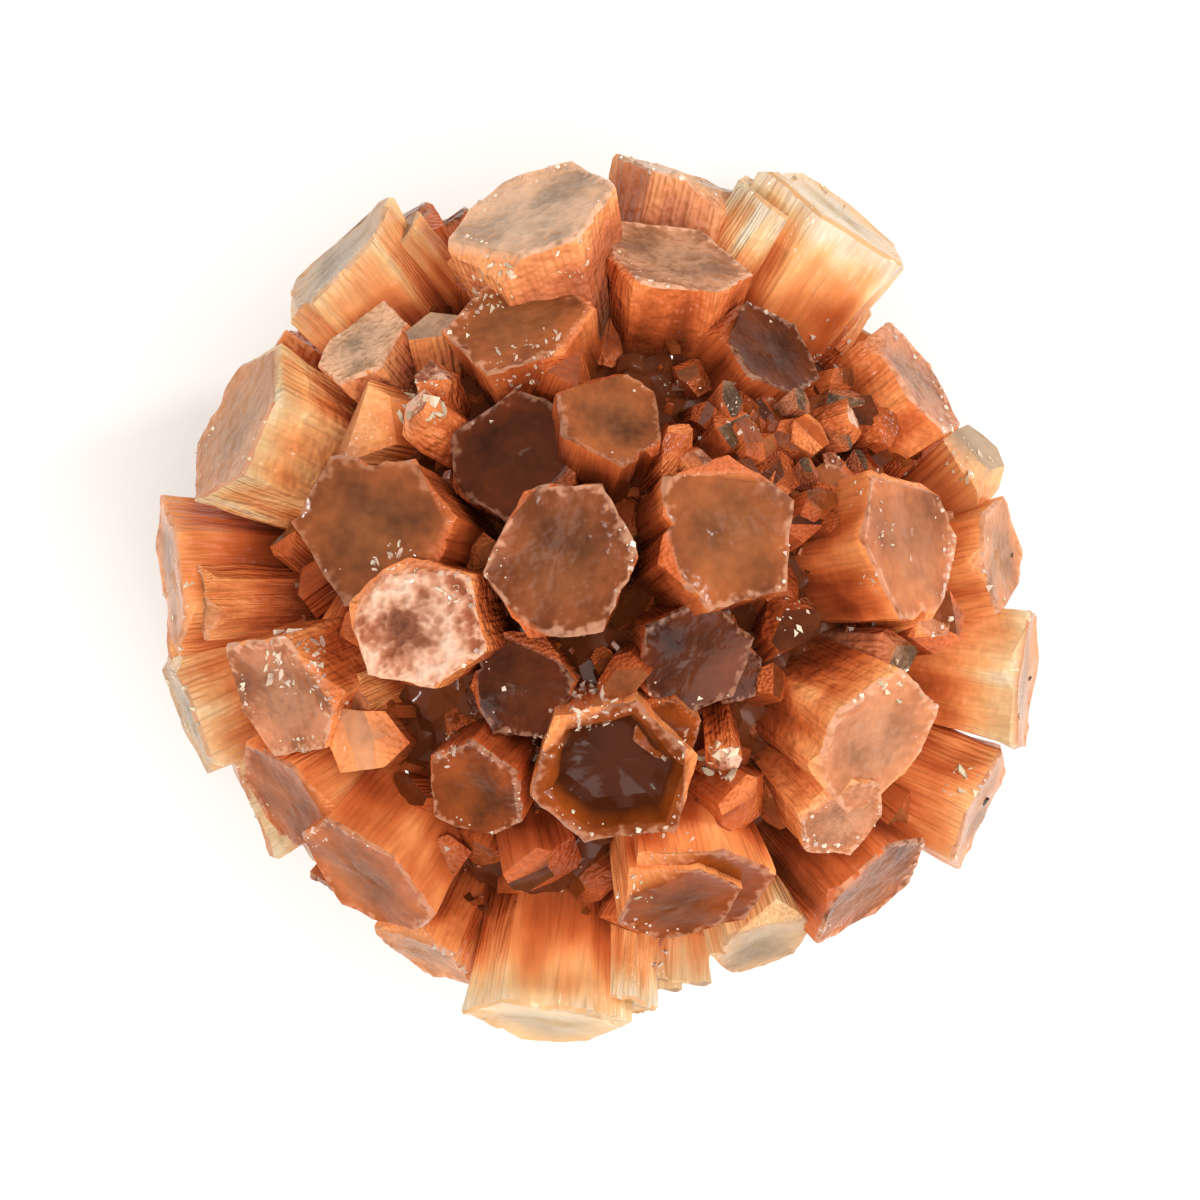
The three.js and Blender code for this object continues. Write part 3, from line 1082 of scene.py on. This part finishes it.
@dataclass
class NodeBoard:
    """Lays out the nodes of one material by name and link."""

    name: str
    material: bpy.types.Material = field(init=False)

    def __post_init__(self) -> None:
        """Starts the material with no nodes."""
        self.material = bpy.data.materials.new(self.name)
        self.material.use_nodes = True
        self.material.node_tree.nodes.clear()

    def add(
        self, kind: str, sockets: dict[str | int, object] | None = None, **settings: object
    ) -> bpy.types.Node:
        """Adds a node.

        Args:
            kind: The node's type, such as "ShaderNodeMath".
            sockets: Values for its inputs. A socket of another node is linked instead.
            **settings: The node's own properties.

        Returns:
            The node.
        """
        node = self.material.node_tree.nodes.new(kind)
        set_all(node, settings)
        for name, value in (sockets or {}).items():
            if isinstance(value, Socket):
                self.material.node_tree.links.new(value, node.inputs[name])
            else:
                node.inputs[name].default_value = value
        return node

    def finish(self, **sockets: Socket) -> bpy.types.Material:
        """Adds the output, with its inputs by name, and gives the material."""
        self.add("ShaderNodeOutputMaterial", sockets).is_active_output = True
        return self.material

    def mark(self, name: str) -> bpy.types.bpy_prop_collection:
        """The sockets of a mark that the mesh carries, by their names."""
        return self.add("ShaderNodeAttribute", attribute_name=name).outputs

    def parts(self, colour: Socket) -> bpy.types.bpy_prop_collection:
        """The three parts of a colour, each as a number's socket."""
        return self.add("ShaderNodeSeparateColor", {"Color": colour}).outputs

    def sum(self, operation: str, *values: object) -> Socket:
        """Works out one number from others.

        Args:
            operation: The kind of sum, such as "MULTIPLY".
            *values: Numbers or sockets.

        Returns:
            The socket with the result.
        """
        node = self.add("ShaderNodeMath", dict(enumerate(values)), operation=operation)
        return node.outputs[0]

    def times(self, first: object, second: object) -> Socket:
        """Multiplies two numbers."""
        return self.sum("MULTIPLY", first, second)

    def line(self, value: object, slope: object, start: object) -> Socket:
        """Multiplies a number by a slope and adds a start."""
        return self.sum("MULTIPLY_ADD", value, slope, start)

    def rise(self, value: object, low: float, high: float) -> Socket:
        """Rises smoothly from 0 to 1 while a value goes from low to high.

        Args:
            value: The socket that is read.
            low: Where the rise starts, which may be above where it ends.
            high: Where it ends.

        Returns:
            The socket with the result.
        """
        sockets = {"Value": value, "From Min": low, "From Max": high}
        node = self.add("ShaderNodeMapRange", sockets, interpolation_type="SMOOTHSTEP")
        return node.outputs[0]

    def blend(self, share: object, first: object, second: object, mode: str = "MIX") -> Socket:
        """Blends two colours.

        Args:
            share: How much of the second one shows.
            first: The colour underneath.
            second: The colour on top.
            mode: How they are blended.

        Returns:
            The socket with the colour.
        """
        sockets = {0: share}
        for place, colour in ((6, first), (7, second)):
            sockets[place] = colour if isinstance(colour, Socket) else (*colour, 1)
        return self.add("ShaderNodeMix", sockets, data_type="RGBA", blend_type=mode).outputs[2]

    def ramp(self, value: object, stops: dict[float, Colour]) -> Socket:
        """Turns a number into a colour.

        Args:
            value: The socket that is read.
            stops: A colour for each place from 0 to 1.

        Returns:
            The socket with the colour.
        """
        node = self.add("ShaderNodeValToRGB", {"Fac": value})
        marks = node.color_ramp.elements
        for k, (place, colour) in enumerate(stops.items()):
            mark = marks[k] if k < 2 else marks.new(place)
            mark.position = place
            mark.color = (*colour, 1)
        return node.outputs[0]

    def noise(self, where: object, scale: float, detail: float) -> Socket:
        """Gives a cloudy pattern from 0 to 1.

        Args:
            where: The coordinates.
            scale: How many clouds there are to a unit.
            detail: How many finer layers it has.

        Returns:
            The socket with the pattern.
        """
        sockets = {"Vector": where, "Scale": scale, "Detail": detail}
        return self.add("ShaderNodeTexNoise", sockets).outputs[0]


@dataclass(frozen=True)
class CrystalSockets:
    """What the aragonite reads at each point: where it is on which crystal, and the patterns."""

    on_end: Socket
    depth: Socket
    outward: Socket
    edge: Socket
    pale: Socket
    warm: Socket
    frost: Socket
    glow: Socket
    end_colour: Socket
    reach: Socket
    streak: Socket
    band: Socket
    speck: Socket
    cloud: Socket


@dataclass(frozen=True)
class AragoniteFinish:
    """Translucent aragonite: frosted ends over striated sides that darken towards the root,
    partly as painted shade, with painted glow, sheen and rim highlights.

    The patterns lie along each crystal's own axes, and their sizes are clouds to a millimetre.
    """

    name: str = "aragonite"
    stretch: float = 0.05
    streak_size: float = 5.0
    band_size: float = 1.1
    speck_size: float = 2.2
    cloud_size: float = 0.36
    # From a side's end to its root: the crystal's own zoning, and in the darkest stops, deep
    # between the prisms, partly painted shade.
    side_colours: dict[float, Colour] = field(
        default_factory=lambda: {
            0.0: (0.97, 0.86, 0.63),
            0.10: (0.96, 0.67, 0.34),
            0.20: (0.94, 0.47, 0.19),
            0.34: (0.86, 0.300, 0.098),
            0.50: (0.58, 0.135, 0.037),
            0.66: (0.35, 0.070, 0.020),
            0.82: (0.17, 0.033, 0.009),
            1.0: (0.085, 0.019, 0.006),
        }
    )
    darkest_tip: float = 0.60
    cool: Colour = (0.42, 0.33, 0.22)
    thread: Colour = (0.85, 0.74, 0.62)
    groove: Colour = (0.50, 0.26, 0.16)
    dull: Colour = (0.62, 0.40, 0.30)
    # Per colour part: how much an end lightens towards its rim, as painted glow of light through
    # the thin edge, its share in the middle, and how strongly the random stains show.
    stains_and_rim_glow: tuple[tuple[float, float, float], ...] = (
        (0.36, 0.86, 1.0),
        (0.20, 0.92, 1.0),
        (0.06, 0.98, 0.9),
    )
    # Painted shade deep in a hollow.
    hollow: Colour = (0.060, 0.014, 0.005)
    # The pale of frost patches, and of the painted highlight along the rims.
    milky_and_highlight: Colour = (0.80, 0.45, 0.29)
    # The white of sugary crust, and of painted sheen on frosted ends.
    sugary_sheen: Colour = (0.95, 0.78, 0.64)
    # Painted shade: the colour that the surface darkens to deep between the prisms, near the
    # centre of growth.
    root: Colour = (0.200, 0.053, 0.017)
    gap_shade_starts: float = 0.0158
    gap_shade_ends: float = 0.0136
    relief: float = 0.0004
    relief_strength: float = 0.7
    smoothest: float = 0.14
    ior: float = 1.6
    glint: float = 0.12
    see_through: float = 0.40
    absorbing: Colour = (0.92, 0.45, 0.12)
    density: float = 420

    def read(self, board: NodeBoard) -> CrystalSockets:
        """Reads the marks on the mesh and lays out the patterns.

        Args:
            board: The material's board.

        Returns:
            Their sockets.
        """
        spot = board.add("ShaderNodeTexCoord").outputs["Object"]
        middle = tuple(-part for part in CENTRE)
        lifted = board.add("ShaderNodeVectorMath", {0: spot, 1: middle}, operation="ADD")
        reach = board.add("ShaderNodeVectorMath", {0: lifted.outputs[0]}, operation="LENGTH")
        place, crystal = board.mark("place"), board.mark("crystal")
        own = board.mark("own")["Vector"]
        end_colour = board.mark("end_colour")["Color"]
        on_end, depth, outward = board.parts(place["Color"])
        pale, warm, frost = board.parts(crystal["Color"])
        sockets = {"Vector": own, "Scale": (1, 1, self.stretch)}
        drawn = board.add("ShaderNodeMapping", sockets).outputs[0]
        return CrystalSockets(
            on_end=on_end,
            depth=depth,
            outward=outward,
            edge=place["Alpha"],
            pale=pale,
            warm=warm,
            frost=frost,
            glow=crystal["Alpha"],
            end_colour=end_colour,
            reach=reach.outputs[1],
            streak=board.noise(drawn, self.streak_size, 0),
            band=board.noise(drawn, self.band_size, 0),
            speck=board.noise(own, self.speck_size, 1),
            cloud=board.noise(own, self.cloud_size, 1),
        )

    def side(self, board: NodeBoard, at: CrystalSockets) -> Socket:
        """Colours the sides, from light at the end to dark at the root, partly painted shade,
        with striations.

        Args:
            board: The material's board.
            at: What is known of each point.

        Returns:
            The socket with the colour.
        """
        wander = board.line(at.band, 0.34, board.line(at.streak, 0.10, 0.03))
        wander = board.line(at.cloud, -0.50, wander)
        wander = board.times(wander, board.rise(at.depth, -0.05, 0.2))
        wander = board.line(at.edge, -0.09, wander)
        # The side darkens with depth below its end and starts darker on crystals that are not
        # pale: own zoning, and painted shade between the prisms. Painted glow holds that
        # darkening back.
        tip = board.line(at.pale, -self.darkest_tip, self.darkest_tip)
        unlit = board.times(at.depth, board.sum("SUBTRACT", 1.0, at.glow))
        along = board.sum("ADD", board.sum("ADD", unlit, wander), tip)
        side = board.ramp(along, self.side_colours)
        cool = board.times(board.rise(at.warm, 0.6, 0.0), 0.35)
        side = board.blend(cool, side, self.cool)
        thread = board.times(board.rise(at.streak, 0.52, 0.72), 0.22)
        side = board.blend(thread, side, self.thread, "SOFT_LIGHT")
        groove = board.times(board.rise(at.streak, 0.46, 0.30), 0.16)
        side = board.blend(groove, side, self.groove, "MULTIPLY")
        dull = board.times(board.rise(at.cloud, 0.56, 0.30), 0.28)
        return board.blend(dull, side, self.dull, "MULTIPLY")

    def end(self, board: NodeBoard, at: CrystalSockets) -> Socket:
        """Colours the ends: stained and lighter at the rim as painted glow, frosted, with crust
        and painted sheen, a rim line that is partly painted highlight, and painted shade in a
        hollow.

        Args:
            board: The material's board.
            at: What is known of each point.

        Returns:
            The socket with the colour.
        """
        # Painted glow: each end lightens and warms towards its rim, as if lit through the thin
        # edge, under the random stains.
        rising = board.rise(at.outward, 0.25, 0.95)
        mottle = board.line(at.cloud, 1.9, board.line(at.speck, 0.6, -1.25))
        mottle = board.times(mottle, board.line(at.pale, -0.8, 1.2))
        shares = []
        for spread, least, stained in self.stains_and_rim_glow:
            stain = board.line(mottle, stained, 1.0)
            rim_glow = board.line(rising, spread, least)
            shares.append(board.times(rim_glow, stain))
        shade = board.add("ShaderNodeCombineColor", dict(enumerate(shares))).outputs[0]
        end = board.blend(1.0, at.end_colour, shade, "MULTIPLY")
        patchy = board.line(at.speck, 0.30, board.times(at.cloud, 0.70))
        dusting = board.times(board.rise(patchy, 0.42, 0.58), board.rise(at.frost, 0.3, 1.1))
        end = board.blend(board.times(dusting, 0.62), end, self.milky_and_highlight)
        # White patches on frosted ends: sugary crust, and painted sheen where the light would
        # glance off the frost.
        sugar_and_sheen = board.times(board.rise(patchy, 0.50, 0.66), board.rise(at.frost, 0.6, 1.1))
        end = board.blend(board.times(sugar_and_sheen, 0.40), end, self.sugary_sheen)
        # A pale broken line along each end's rim: partly crust on frosted crystals, partly a
        # painted highlight along the edge.
        rim = board.rise(board.line(at.speck, 0.42, at.outward), 1.08, 1.20)
        rim = board.times(rim, board.line(at.frost, 0.6, 0.15))
        end = board.blend(rim, end, self.milky_and_highlight)
        # Painted shade: where an end lies deeper than its rim, in a hollow or below a ledge, it
        # darkens towards the hollow colour.
        sunk = board.times(board.rise(at.depth, 0.03, 0.12), 0.92)
        return board.blend(sunk, end, self.hollow)

    def build(self) -> bpy.types.Material:
        """Lays out the material.

        Returns:
            The material.
        """
        board = NodeBoard(self.name)
        at = self.read(board)
        colour = board.blend(at.on_end, self.side(board, at), self.end(board, at))
        # Painted shade: the surface darkens towards the root colour deep between the prisms, less
        # on pale crystals and on those with painted glow.
        gap_shade = board.rise(at.reach, self.gap_shade_starts, self.gap_shade_ends)
        gap_shade = board.times(gap_shade, board.line(at.pale, -0.5, 0.85))
        gap_shade = board.times(gap_shade, board.line(at.glow, -0.7, 1.0))

        height = board.times(board.line(at.on_end, -0.7, 0.7), at.streak)
        grit = board.line(board.rise(at.frost, 0.1, 1.1), 1.5, 0.08)
        height = board.line(at.speck, grit, height)
        sockets = {"Height": height, "Strength": self.relief_strength, "Distance": self.relief}
        bump = board.add("ShaderNodeBump", sockets).outputs[0]
        rough = board.times(at.frost, board.line(at.on_end, 0.22, 0.04))
        clear = board.times(board.rise(at.pale, 0.4, 1.0), board.rise(at.depth, 0.3, 0.02))
        shader = board.add(
            "ShaderNodeBsdfPrincipled",
            {
                "Base Color": board.blend(gap_shade, colour, self.root),
                "Roughness": board.sum("ADD", rough, self.smoothest),
                "IOR": self.ior,
                "Specular IOR Level": self.glint,
                "Normal": bump,
                "Transmission Weight": board.times(clear, self.see_through),
            },
        )
        inside = {"Color": (*self.absorbing, 1), "Density": self.density}
        absorb = board.add("ShaderNodeVolumeAbsorption", inside)
        return board.finish(Surface=shader.outputs[0], Volume=absorb.outputs[0])


@dataclass(frozen=True)
class DruseFinish:
    """Clear sugar-like grains, each with its own tint, and clouds to a metre over them all."""

    name: str = "druse"
    cloud_size: float = 2500
    cloudy: Colour = (0.9, 0.7, 0.5)
    ior: float = 1.6
    see_through: float = 0.3

    def build(self) -> bpy.types.Material:
        """Lays out the material.

        Returns:
            The material.
        """
        board = NodeBoard(self.name)
        spot = board.add("ShaderNodeTexCoord").outputs["Object"]
        cloud = board.noise(spot, self.cloud_size, 1)
        tint = board.mark("crystal")["Color"]
        shader = board.add(
            "ShaderNodeBsdfPrincipled",
            {
                "Base Color": board.blend(board.times(cloud, 0.5), tint, self.cloudy, "MULTIPLY"),
                "Roughness": board.line(cloud, 0.3, 0.05),
                "IOR": self.ior,
                "Transmission Weight": self.see_through,
            },
        )
        return board.finish(Surface=shader.outputs[0])


class GrainKind(Enum):
    """A grain's look, as its colour in the middle of its range."""

    # The two pale kinds are partly painted glints: near-white grains where the light would catch
    # small facets.
    SUGAR = (0.92, 0.68, 0.54)
    CREAM = (0.92, 0.78, 0.56)
    ORANGE = (0.68, 0.21, 0.055)
    RUST = (0.36, 0.085, 0.020)
    BROWN = (0.20, 0.050, 0.014)
    BLACK = (0.012, 0.006, 0.005)


@dataclass(frozen=True)
class Fleck:
    """One grain that stands out, or a spray of them, at its place in plan, in millimetres."""

    x: float
    y: float
    size: float
    kind: GrainKind
    count: int = 1
    spread: float = 0.0


SUGAR, CREAM, ORANGE, RUST, BROWN, BLACK = GrainKind

# The pale sprays are partly painted glints; the black grains are dark specks of the stone.
FLECKS = from_rows(
    Fleck,
    (19.2, -3.5, 0.45, BLACK),
    (17.2, -9.0, 0.65, BLACK),
    (18.4, 2.0, 0.4, BLACK),
    (4.6, -7.4, 0.45, BLACK),
    (-4.2, -3.9, 0.5, SUGAR),
    (-6.8, -11.0, 0.5, SUGAR),
    (8.8, 2.2, 0.7, ORANGE),
    (5.2, -7.2, 0.75, CREAM, 14, 0.9),
    (8.4, -0.7, 0.40, SUGAR, 12, 0.8),
    (-7.9, 8.6, 0.55, CREAM, 40, 1.2),
    (-3.6, 10.3, 0.38, SUGAR, 30, 1.3),
    (-2.4, 11.3, 0.32, SUGAR, 14, 0.7),
    (-4.6, 13.9, 0.46, CREAM, 34, 1.2),
    (-1.2, 15.0, 0.32, CREAM, 14, 0.9),
    (6.3, 8.6, 0.30, SUGAR, 24, 1.3),
    (3.2, 9.6, 0.30, SUGAR, 8, 0.6),
    (10.2, 11.4, 0.32, SUGAR, 18, 1.1),
    (11.9, 4.9, 0.26, SUGAR, 14, 1.2),
    (-9.0, 1.4, 0.42, SUGAR, 34, 1.1),
    (-6.6, 0.3, 0.34, SUGAR, 14, 0.6),
    (-0.2, -4.7, 0.44, SUGAR, 50, 1.2),
    (-2.4, -6.6, 0.36, SUGAR, 22, 0.8),
    (3.6, -6.4, 0.30, SUGAR, 12, 0.7),
    (-6.6, -6.6, 0.34, SUGAR, 16, 0.8),
    (3.2, -10.9, 0.32, SUGAR, 18, 1.1),
    (1.6, -12.6, 0.30, CREAM, 14, 0.9),
    (-13.4, -2.7, 0.50, SUGAR, 64, 1.5),
    (-11.6, -4.6, 0.34, SUGAR, 12, 0.7),
    (12.5, 2.9, 0.30, SUGAR, 14, 0.6),
    (12.0, 0.9, 0.24, SUGAR, 8, 0.6),
    (16.0, -8.0, 0.55, CREAM, 16, 0.9),
    (13.1, -3.6, 0.36, CREAM, 18, 0.9),
    (16.6, 6.2, 0.40, CREAM, 26, 1.2),
    (3.0, -16.6, 0.40, SUGAR, 20, 0.9),
    (-19.6, 0.4, 0.34, CREAM, 40, 1.6),
)


@dataclass
class Druse:
    """Sugar-like grains along the ends' rims, the pale ones partly painted glints, and broken
    crystal in the gaps.

    Sizes are in millimetres, and the reaches from the centre of growth are in metres.
    """

    ball: bpy.types.Object
    seed: int = 5
    radius: float = 0.42
    length: float = 0.9
    forms: tuple[tuple[int, float], ...] = ((5, 0.4), (6, 0.6), (3, 0.3), (4, 0.7))
    taper: tuple[float, float, float] = (0.6, 0.45, 1)
    unevenness: float = 0.16
    tilt: float = 0.45
    sunk: float = 0.2
    shortest: float = 0.8
    flattening: float = 0.4
    light_spread: float = 0.35
    brightest: float = 0.95

    rim_grains: int = 1700
    rim_size: Span = Span(0.10, 0.30)
    rim_reach: float = 0.0165
    crust_waves: tuple[int, int, int] = (900, 1100, 1300)
    gap_grains: int = 900
    gap_size: Span = Span(0.20, 0.6)
    gap_reach: float = 0.0162
    gap_stretch: float = 1.2
    gap_kinds: tuple[GrainKind, ...] = (RUST, BROWN, RUST, BROWN, RUST)
    fleck_size: float = 0.7
    spray_size: Span = Span(0.4, 1.3)
    masters: list[bpy.types.Object] = field(default_factory=list)
    grains: list[bpy.types.Object] = field(default_factory=list)

    def cut_masters(self) -> None:
        """Cuts the few grains that all others are copies of, about 1 mm across."""
        for number, (sides, slant) in enumerate(self.forms):
            deselect_all()
            bpy.ops.mesh.primitive_cylinder_add(
                vertices=sides, radius=self.radius, depth=self.length
            )
            grain = bpy.context.object
            grain.name = f"grain_{number}"
            bpy.ops.object.mode_set(mode="EDIT")
            bpy.ops.mesh.select_all(action="DESELECT")
            for face in bmesh.from_edit_mesh(grain.data).faces:
                face.select = face.normal.z > 0.9
            bpy.ops.transform.resize(value=self.taper)
            bpy.ops.transform.rotate(
                value=slant, orient_axis="X", center_override=(0, 0, self.length / 2)
            )
            bpy.ops.mesh.select_all(action="SELECT")
            bpy.ops.transform.vertex_random(offset=self.unevenness, seed=number)
            bpy.ops.object.mode_set(mode="OBJECT")
            grain.data.attributes.new("crystal", "FLOAT_COLOR", "CORNER")
            self.masters.append(grain)

    def set_grain(
        self,
        spot: Vector,
        outwards: Vector,
        size: float,
        kind: GrainKind,
        number: int,
        stretch: float = 0.0,
        flat: float = 0.0,
    ) -> None:
        """Sets one grain on the ball.

        Args:
            spot: Where it sits, in metres.
            outwards: The direction it points in.
            size: How wide it is, in millimetres.
            kind: The kind that its own colour is near.
            number: The grain's number.
            stretch: How much longer than wide it may be.
            flat: How much of a sliver it is, lying on its side, from 0 to 1.
        """
        master = self.masters[number % len(self.masters)]
        axis = (outwards + self.tilt * sway(number, "tilt")).normalized()
        turn = axis.to_track_quat("Z", "Y").to_matrix().to_4x4()
        spin = Matrix.Rotation(TURN * chance(number, "spin"), 4, "Z")
        long = self.shortest + stretch * chance(number, "long")
        wide = size * METRES_PER_MM
        broad = wide * (1 + flat * chance(number, "broad"))
        scale = Matrix.Diagonal((broad, wide * (1 - self.flattening * flat), long * wide, 1))
        grain = master.copy()
        grain.data = master.data.copy()
        low = spot - axis * (self.sunk * wide)
        grain.data.transform(Matrix.Translation(low) @ turn @ spin @ scale)
        light = 1 + self.light_spread * swing(number, "light")
        colour = (min(light * part, self.brightest) for part in kind.value)
        paint_all(grain, "crystal", (*colour, 1))
        self.grains.append(grain)

    def pick_faces(
        self, middles: np.ndarray, odds: np.ndarray, count: int
    ) -> list[tuple[int, int]]:
        """Picks faces by their places alone, so their order makes no difference.

        Each face has a wait that is drawn from its place and is shorter where its odds are
        better. The faces with the shortest waits are picked.

        Args:
            middles: The middle of each face, in metres.
            odds: How likely each face is to be picked.
            count: How many are picked.

        Returns:
            Each picked face with a number of its own.
        """
        steps = np.round(middles * 1e6) @ WAVE_PACES + self.seed
        draws, numbers = (np.sin(pace * steps) * WAVE_HEIGHT % 1 for pace in (1.0, 1.7))
        able = odds > 0
        waits = np.full(len(odds), np.inf)
        waits[able] = -np.log(draws[able]) / odds[able]
        picks = np.argsort(waits)[:count]
        return [(int(pick), int(1e6 * numbers[pick])) for pick in picks]

    def scatter(self) -> None:
        """Sets grains on the ball's faces, along frosted rims and in the gaps."""
        faces, marks = self.ball.data.polygons, self.ball.data.attributes
        middles, normals = read_all(faces, "center", 3), read_all(faces, "normal", 3)
        areas = read_all(faces, "area", 1)[:, 0]
        first_corners = read_all(faces, "loop_start", 1, int)[:, 0]
        places = read_all(marks["place"].data, "color", 4)[first_corners]
        crystals = read_all(marks["crystal"].data, "color", 4)[first_corners]
        reach = np.linalg.norm(middles - CENTRE, axis=1)
        on_end, pale, frost = places[:, 0] > 0.5, crystals[:, 0], crystals[:, 2]

        waves = np.sin(middles * self.crust_waves).sum(axis=1) + frost
        on_rim = on_end & (places[:, 2] > 0.8) & (reach > self.rim_reach)
        on_crust = on_end & (frost > 0.8) & (waves > 1.2)
        odds = np.where((on_rim & (waves > 0.7)) | on_crust, areas * frost, 0)
        for face, number in self.pick_faces(middles, odds, self.rim_grains):
            # Pale rim grains, partly painted glints.
            kind = SUGAR if pale[face] < 0.6 else CREAM
            size = self.rim_size.pick(number, "size", power=3)
            self.set_grain(Vector(middles[face]), Vector(normals[face]), size, kind, number)

        in_gap = (places[:, 0] < 0.5) & (reach < self.gap_reach)
        odds = np.where(in_gap, areas, 0)
        for face, number in self.pick_faces(middles, odds, self.gap_grains):
            kind = self.gap_kinds[number % len(self.gap_kinds)]
            size = self.gap_size.pick(number, "size", power=3)
            spot, outwards = Vector(middles[face]), Vector(normals[face])
            self.set_grain(spot, outwards, size, kind, number, self.gap_stretch)

    def set_flecks(self) -> None:
        """Sets the grains that stand out, each where a line from above meets the ball."""
        number = self.rim_grains + self.gap_grains
        for fleck in FLECKS:
            for _ in range(fleck.count):
                number += 1
                aside = direction(TURN * chance(number, "way")) * fleck.spread
                aside *= math.sqrt(chance(number, "out"))
                above = Vector((fleck.x + aside.x, fleck.y + aside.y, 100)) * METRES_PER_MM
                hit, spot, normal, _ = self.ball.ray_cast(above, Vector((0, 0, -1)))
                size, flat = self.fleck_size * fleck.size, 0.0
                if fleck.count > 1:
                    size *= self.spray_size.pick(number, "size", power=3)
                    flat = 1.0
                if hit and spot.z > CENTRE[2]:
                    self.set_grain(spot, normal, size, fleck.kind, number, flat=flat)

    def build(self) -> bpy.types.Object:
        """Sets every grain and joins them into one piece.

        Returns:
            The piece.
        """
        self.cut_masters()
        self.scatter()
        self.set_flecks()
        deselect_all()
        for grain in self.grains:
            bpy.context.scene.collection.objects.link(grain)
            grain.select_set(True)
        piece = self.grains[0]
        bpy.context.view_layer.objects.active = piece
        bpy.ops.object.join()
        piece.name = "druse_grains"
        for master in self.masters:
            bpy.data.objects.remove(master)
        return piece


@dataclass(frozen=True)
class Window:
    """A square lamp that faces the ball: its direction in degrees, its width and its watts."""

    name: str
    plan: float
    lift: float
    size: float
    watts: float


@dataclass
class Studio:
    """White floor, soft light from all round, and the camera straight above the ball."""

    sensor_mm: float = 36
    stand_off: float = 0.6
    view_width: float = 0.054
    centre: Vector = Vector(CENTRE)
    floor_size: float = 6
    floor_colour: Colour = (0.93, 0.925, 0.91)
    floor_roughness: float = 0.7
    room_colour: Colour = (1.0, 0.97, 0.93)
    room_light: float = 0.68
    daylight: Colour = (1.0, 0.98, 0.95)
    window_distance: float = 0.65
    windows: tuple[Window, ...] = from_rows(
        Window,
        ("ceiling", -30, 80, 0.50, 2.5),
        ("window_left", 188, 43, 0.05, 1.2),
        ("window_right", 28, 27, 0.06, 1.6),
        ("window_front", -50, 30, 0.30, 1.4),
    )

    def lay_floor(self) -> None:
        """Lays the pale floor."""
        deselect_all()
        bpy.ops.mesh.primitive_plane_add(size=self.floor_size, location=(0, 0, 0))
        floor = bpy.context.object
        floor.name = "floor"
        material = bpy.data.materials.new("white_floor")
        material.use_nodes = True
        shader = material.node_tree.nodes["Principled BSDF"]
        shader.inputs["Base Color"].default_value = (*self.floor_colour, 1)
        shader.inputs["Roughness"].default_value = self.floor_roughness
        floor.data.materials.append(material)

    def hang_lamp(self, window: Window) -> None:
        """Hangs one lamp.

        Args:
            window: The lamp's facts.
        """
        away = direction(math.radians(window.plan), math.radians(window.lift))
        place = self.centre + away * self.window_distance
        deselect_all()
        bpy.ops.object.light_add(type="AREA", location=place)
        lamp = bpy.context.object
        lamp.name = window.name
        lamp.data.size = window.size
        lamp.data.energy = window.watts
        lamp.data.color = self.daylight
        lamp.rotation_euler = (self.centre - place).to_track_quat("-Z", "Y").to_euler()

    def light(self) -> None:
        """Lights the ball from all round, with four windows that make the glints."""
        world = bpy.data.worlds.new("white_room")
        world.use_nodes = True
        air = world.node_tree.nodes["Background"]
        air.inputs["Color"].default_value = (*self.room_colour, 1)
        air.inputs["Strength"].default_value = self.room_light
        bpy.context.scene.world = world
        for window in self.windows:
            self.hang_lamp(window)

    def stand_camera(self) -> None:
        """Stands the camera straight above the ball, looking down."""
        deselect_all()
        place = self.centre + Vector((0, 0, self.stand_off))
        bpy.ops.object.camera_add(location=place, rotation=(0, 0, 0))
        camera = bpy.context.object
        camera.data.sensor_width = self.sensor_mm
        camera.data.lens = self.sensor_mm * self.stand_off / self.view_width
        bpy.context.scene.camera = camera

    def build(self) -> None:
        """Sets up the floor, the lights and the camera."""
        self.lay_floor()
        self.light()
        self.stand_camera()
        bpy.context.scene.view_settings.view_transform = "Standard"


def main() -> None:
    """Builds the ball and its studio, and reports each piece."""
    logging.basicConfig(level=logging.INFO, format="%(message)s")
    Studio().build()
    piece = CrystalBall().build()
    druse = Druse(piece).build()
    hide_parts(NODE)
    for part, finish in ((piece, AragoniteFinish()), (druse, DruseFinish())):
        part.data.materials.clear()
        part.data.materials.append(finish.build())
        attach(part, BODY)
        part.data.calc_loop_triangles()
        LOG.info("%s: %d triangles", part.name, len(part.data.loop_triangles))


if __name__ == "__main__":
    main()
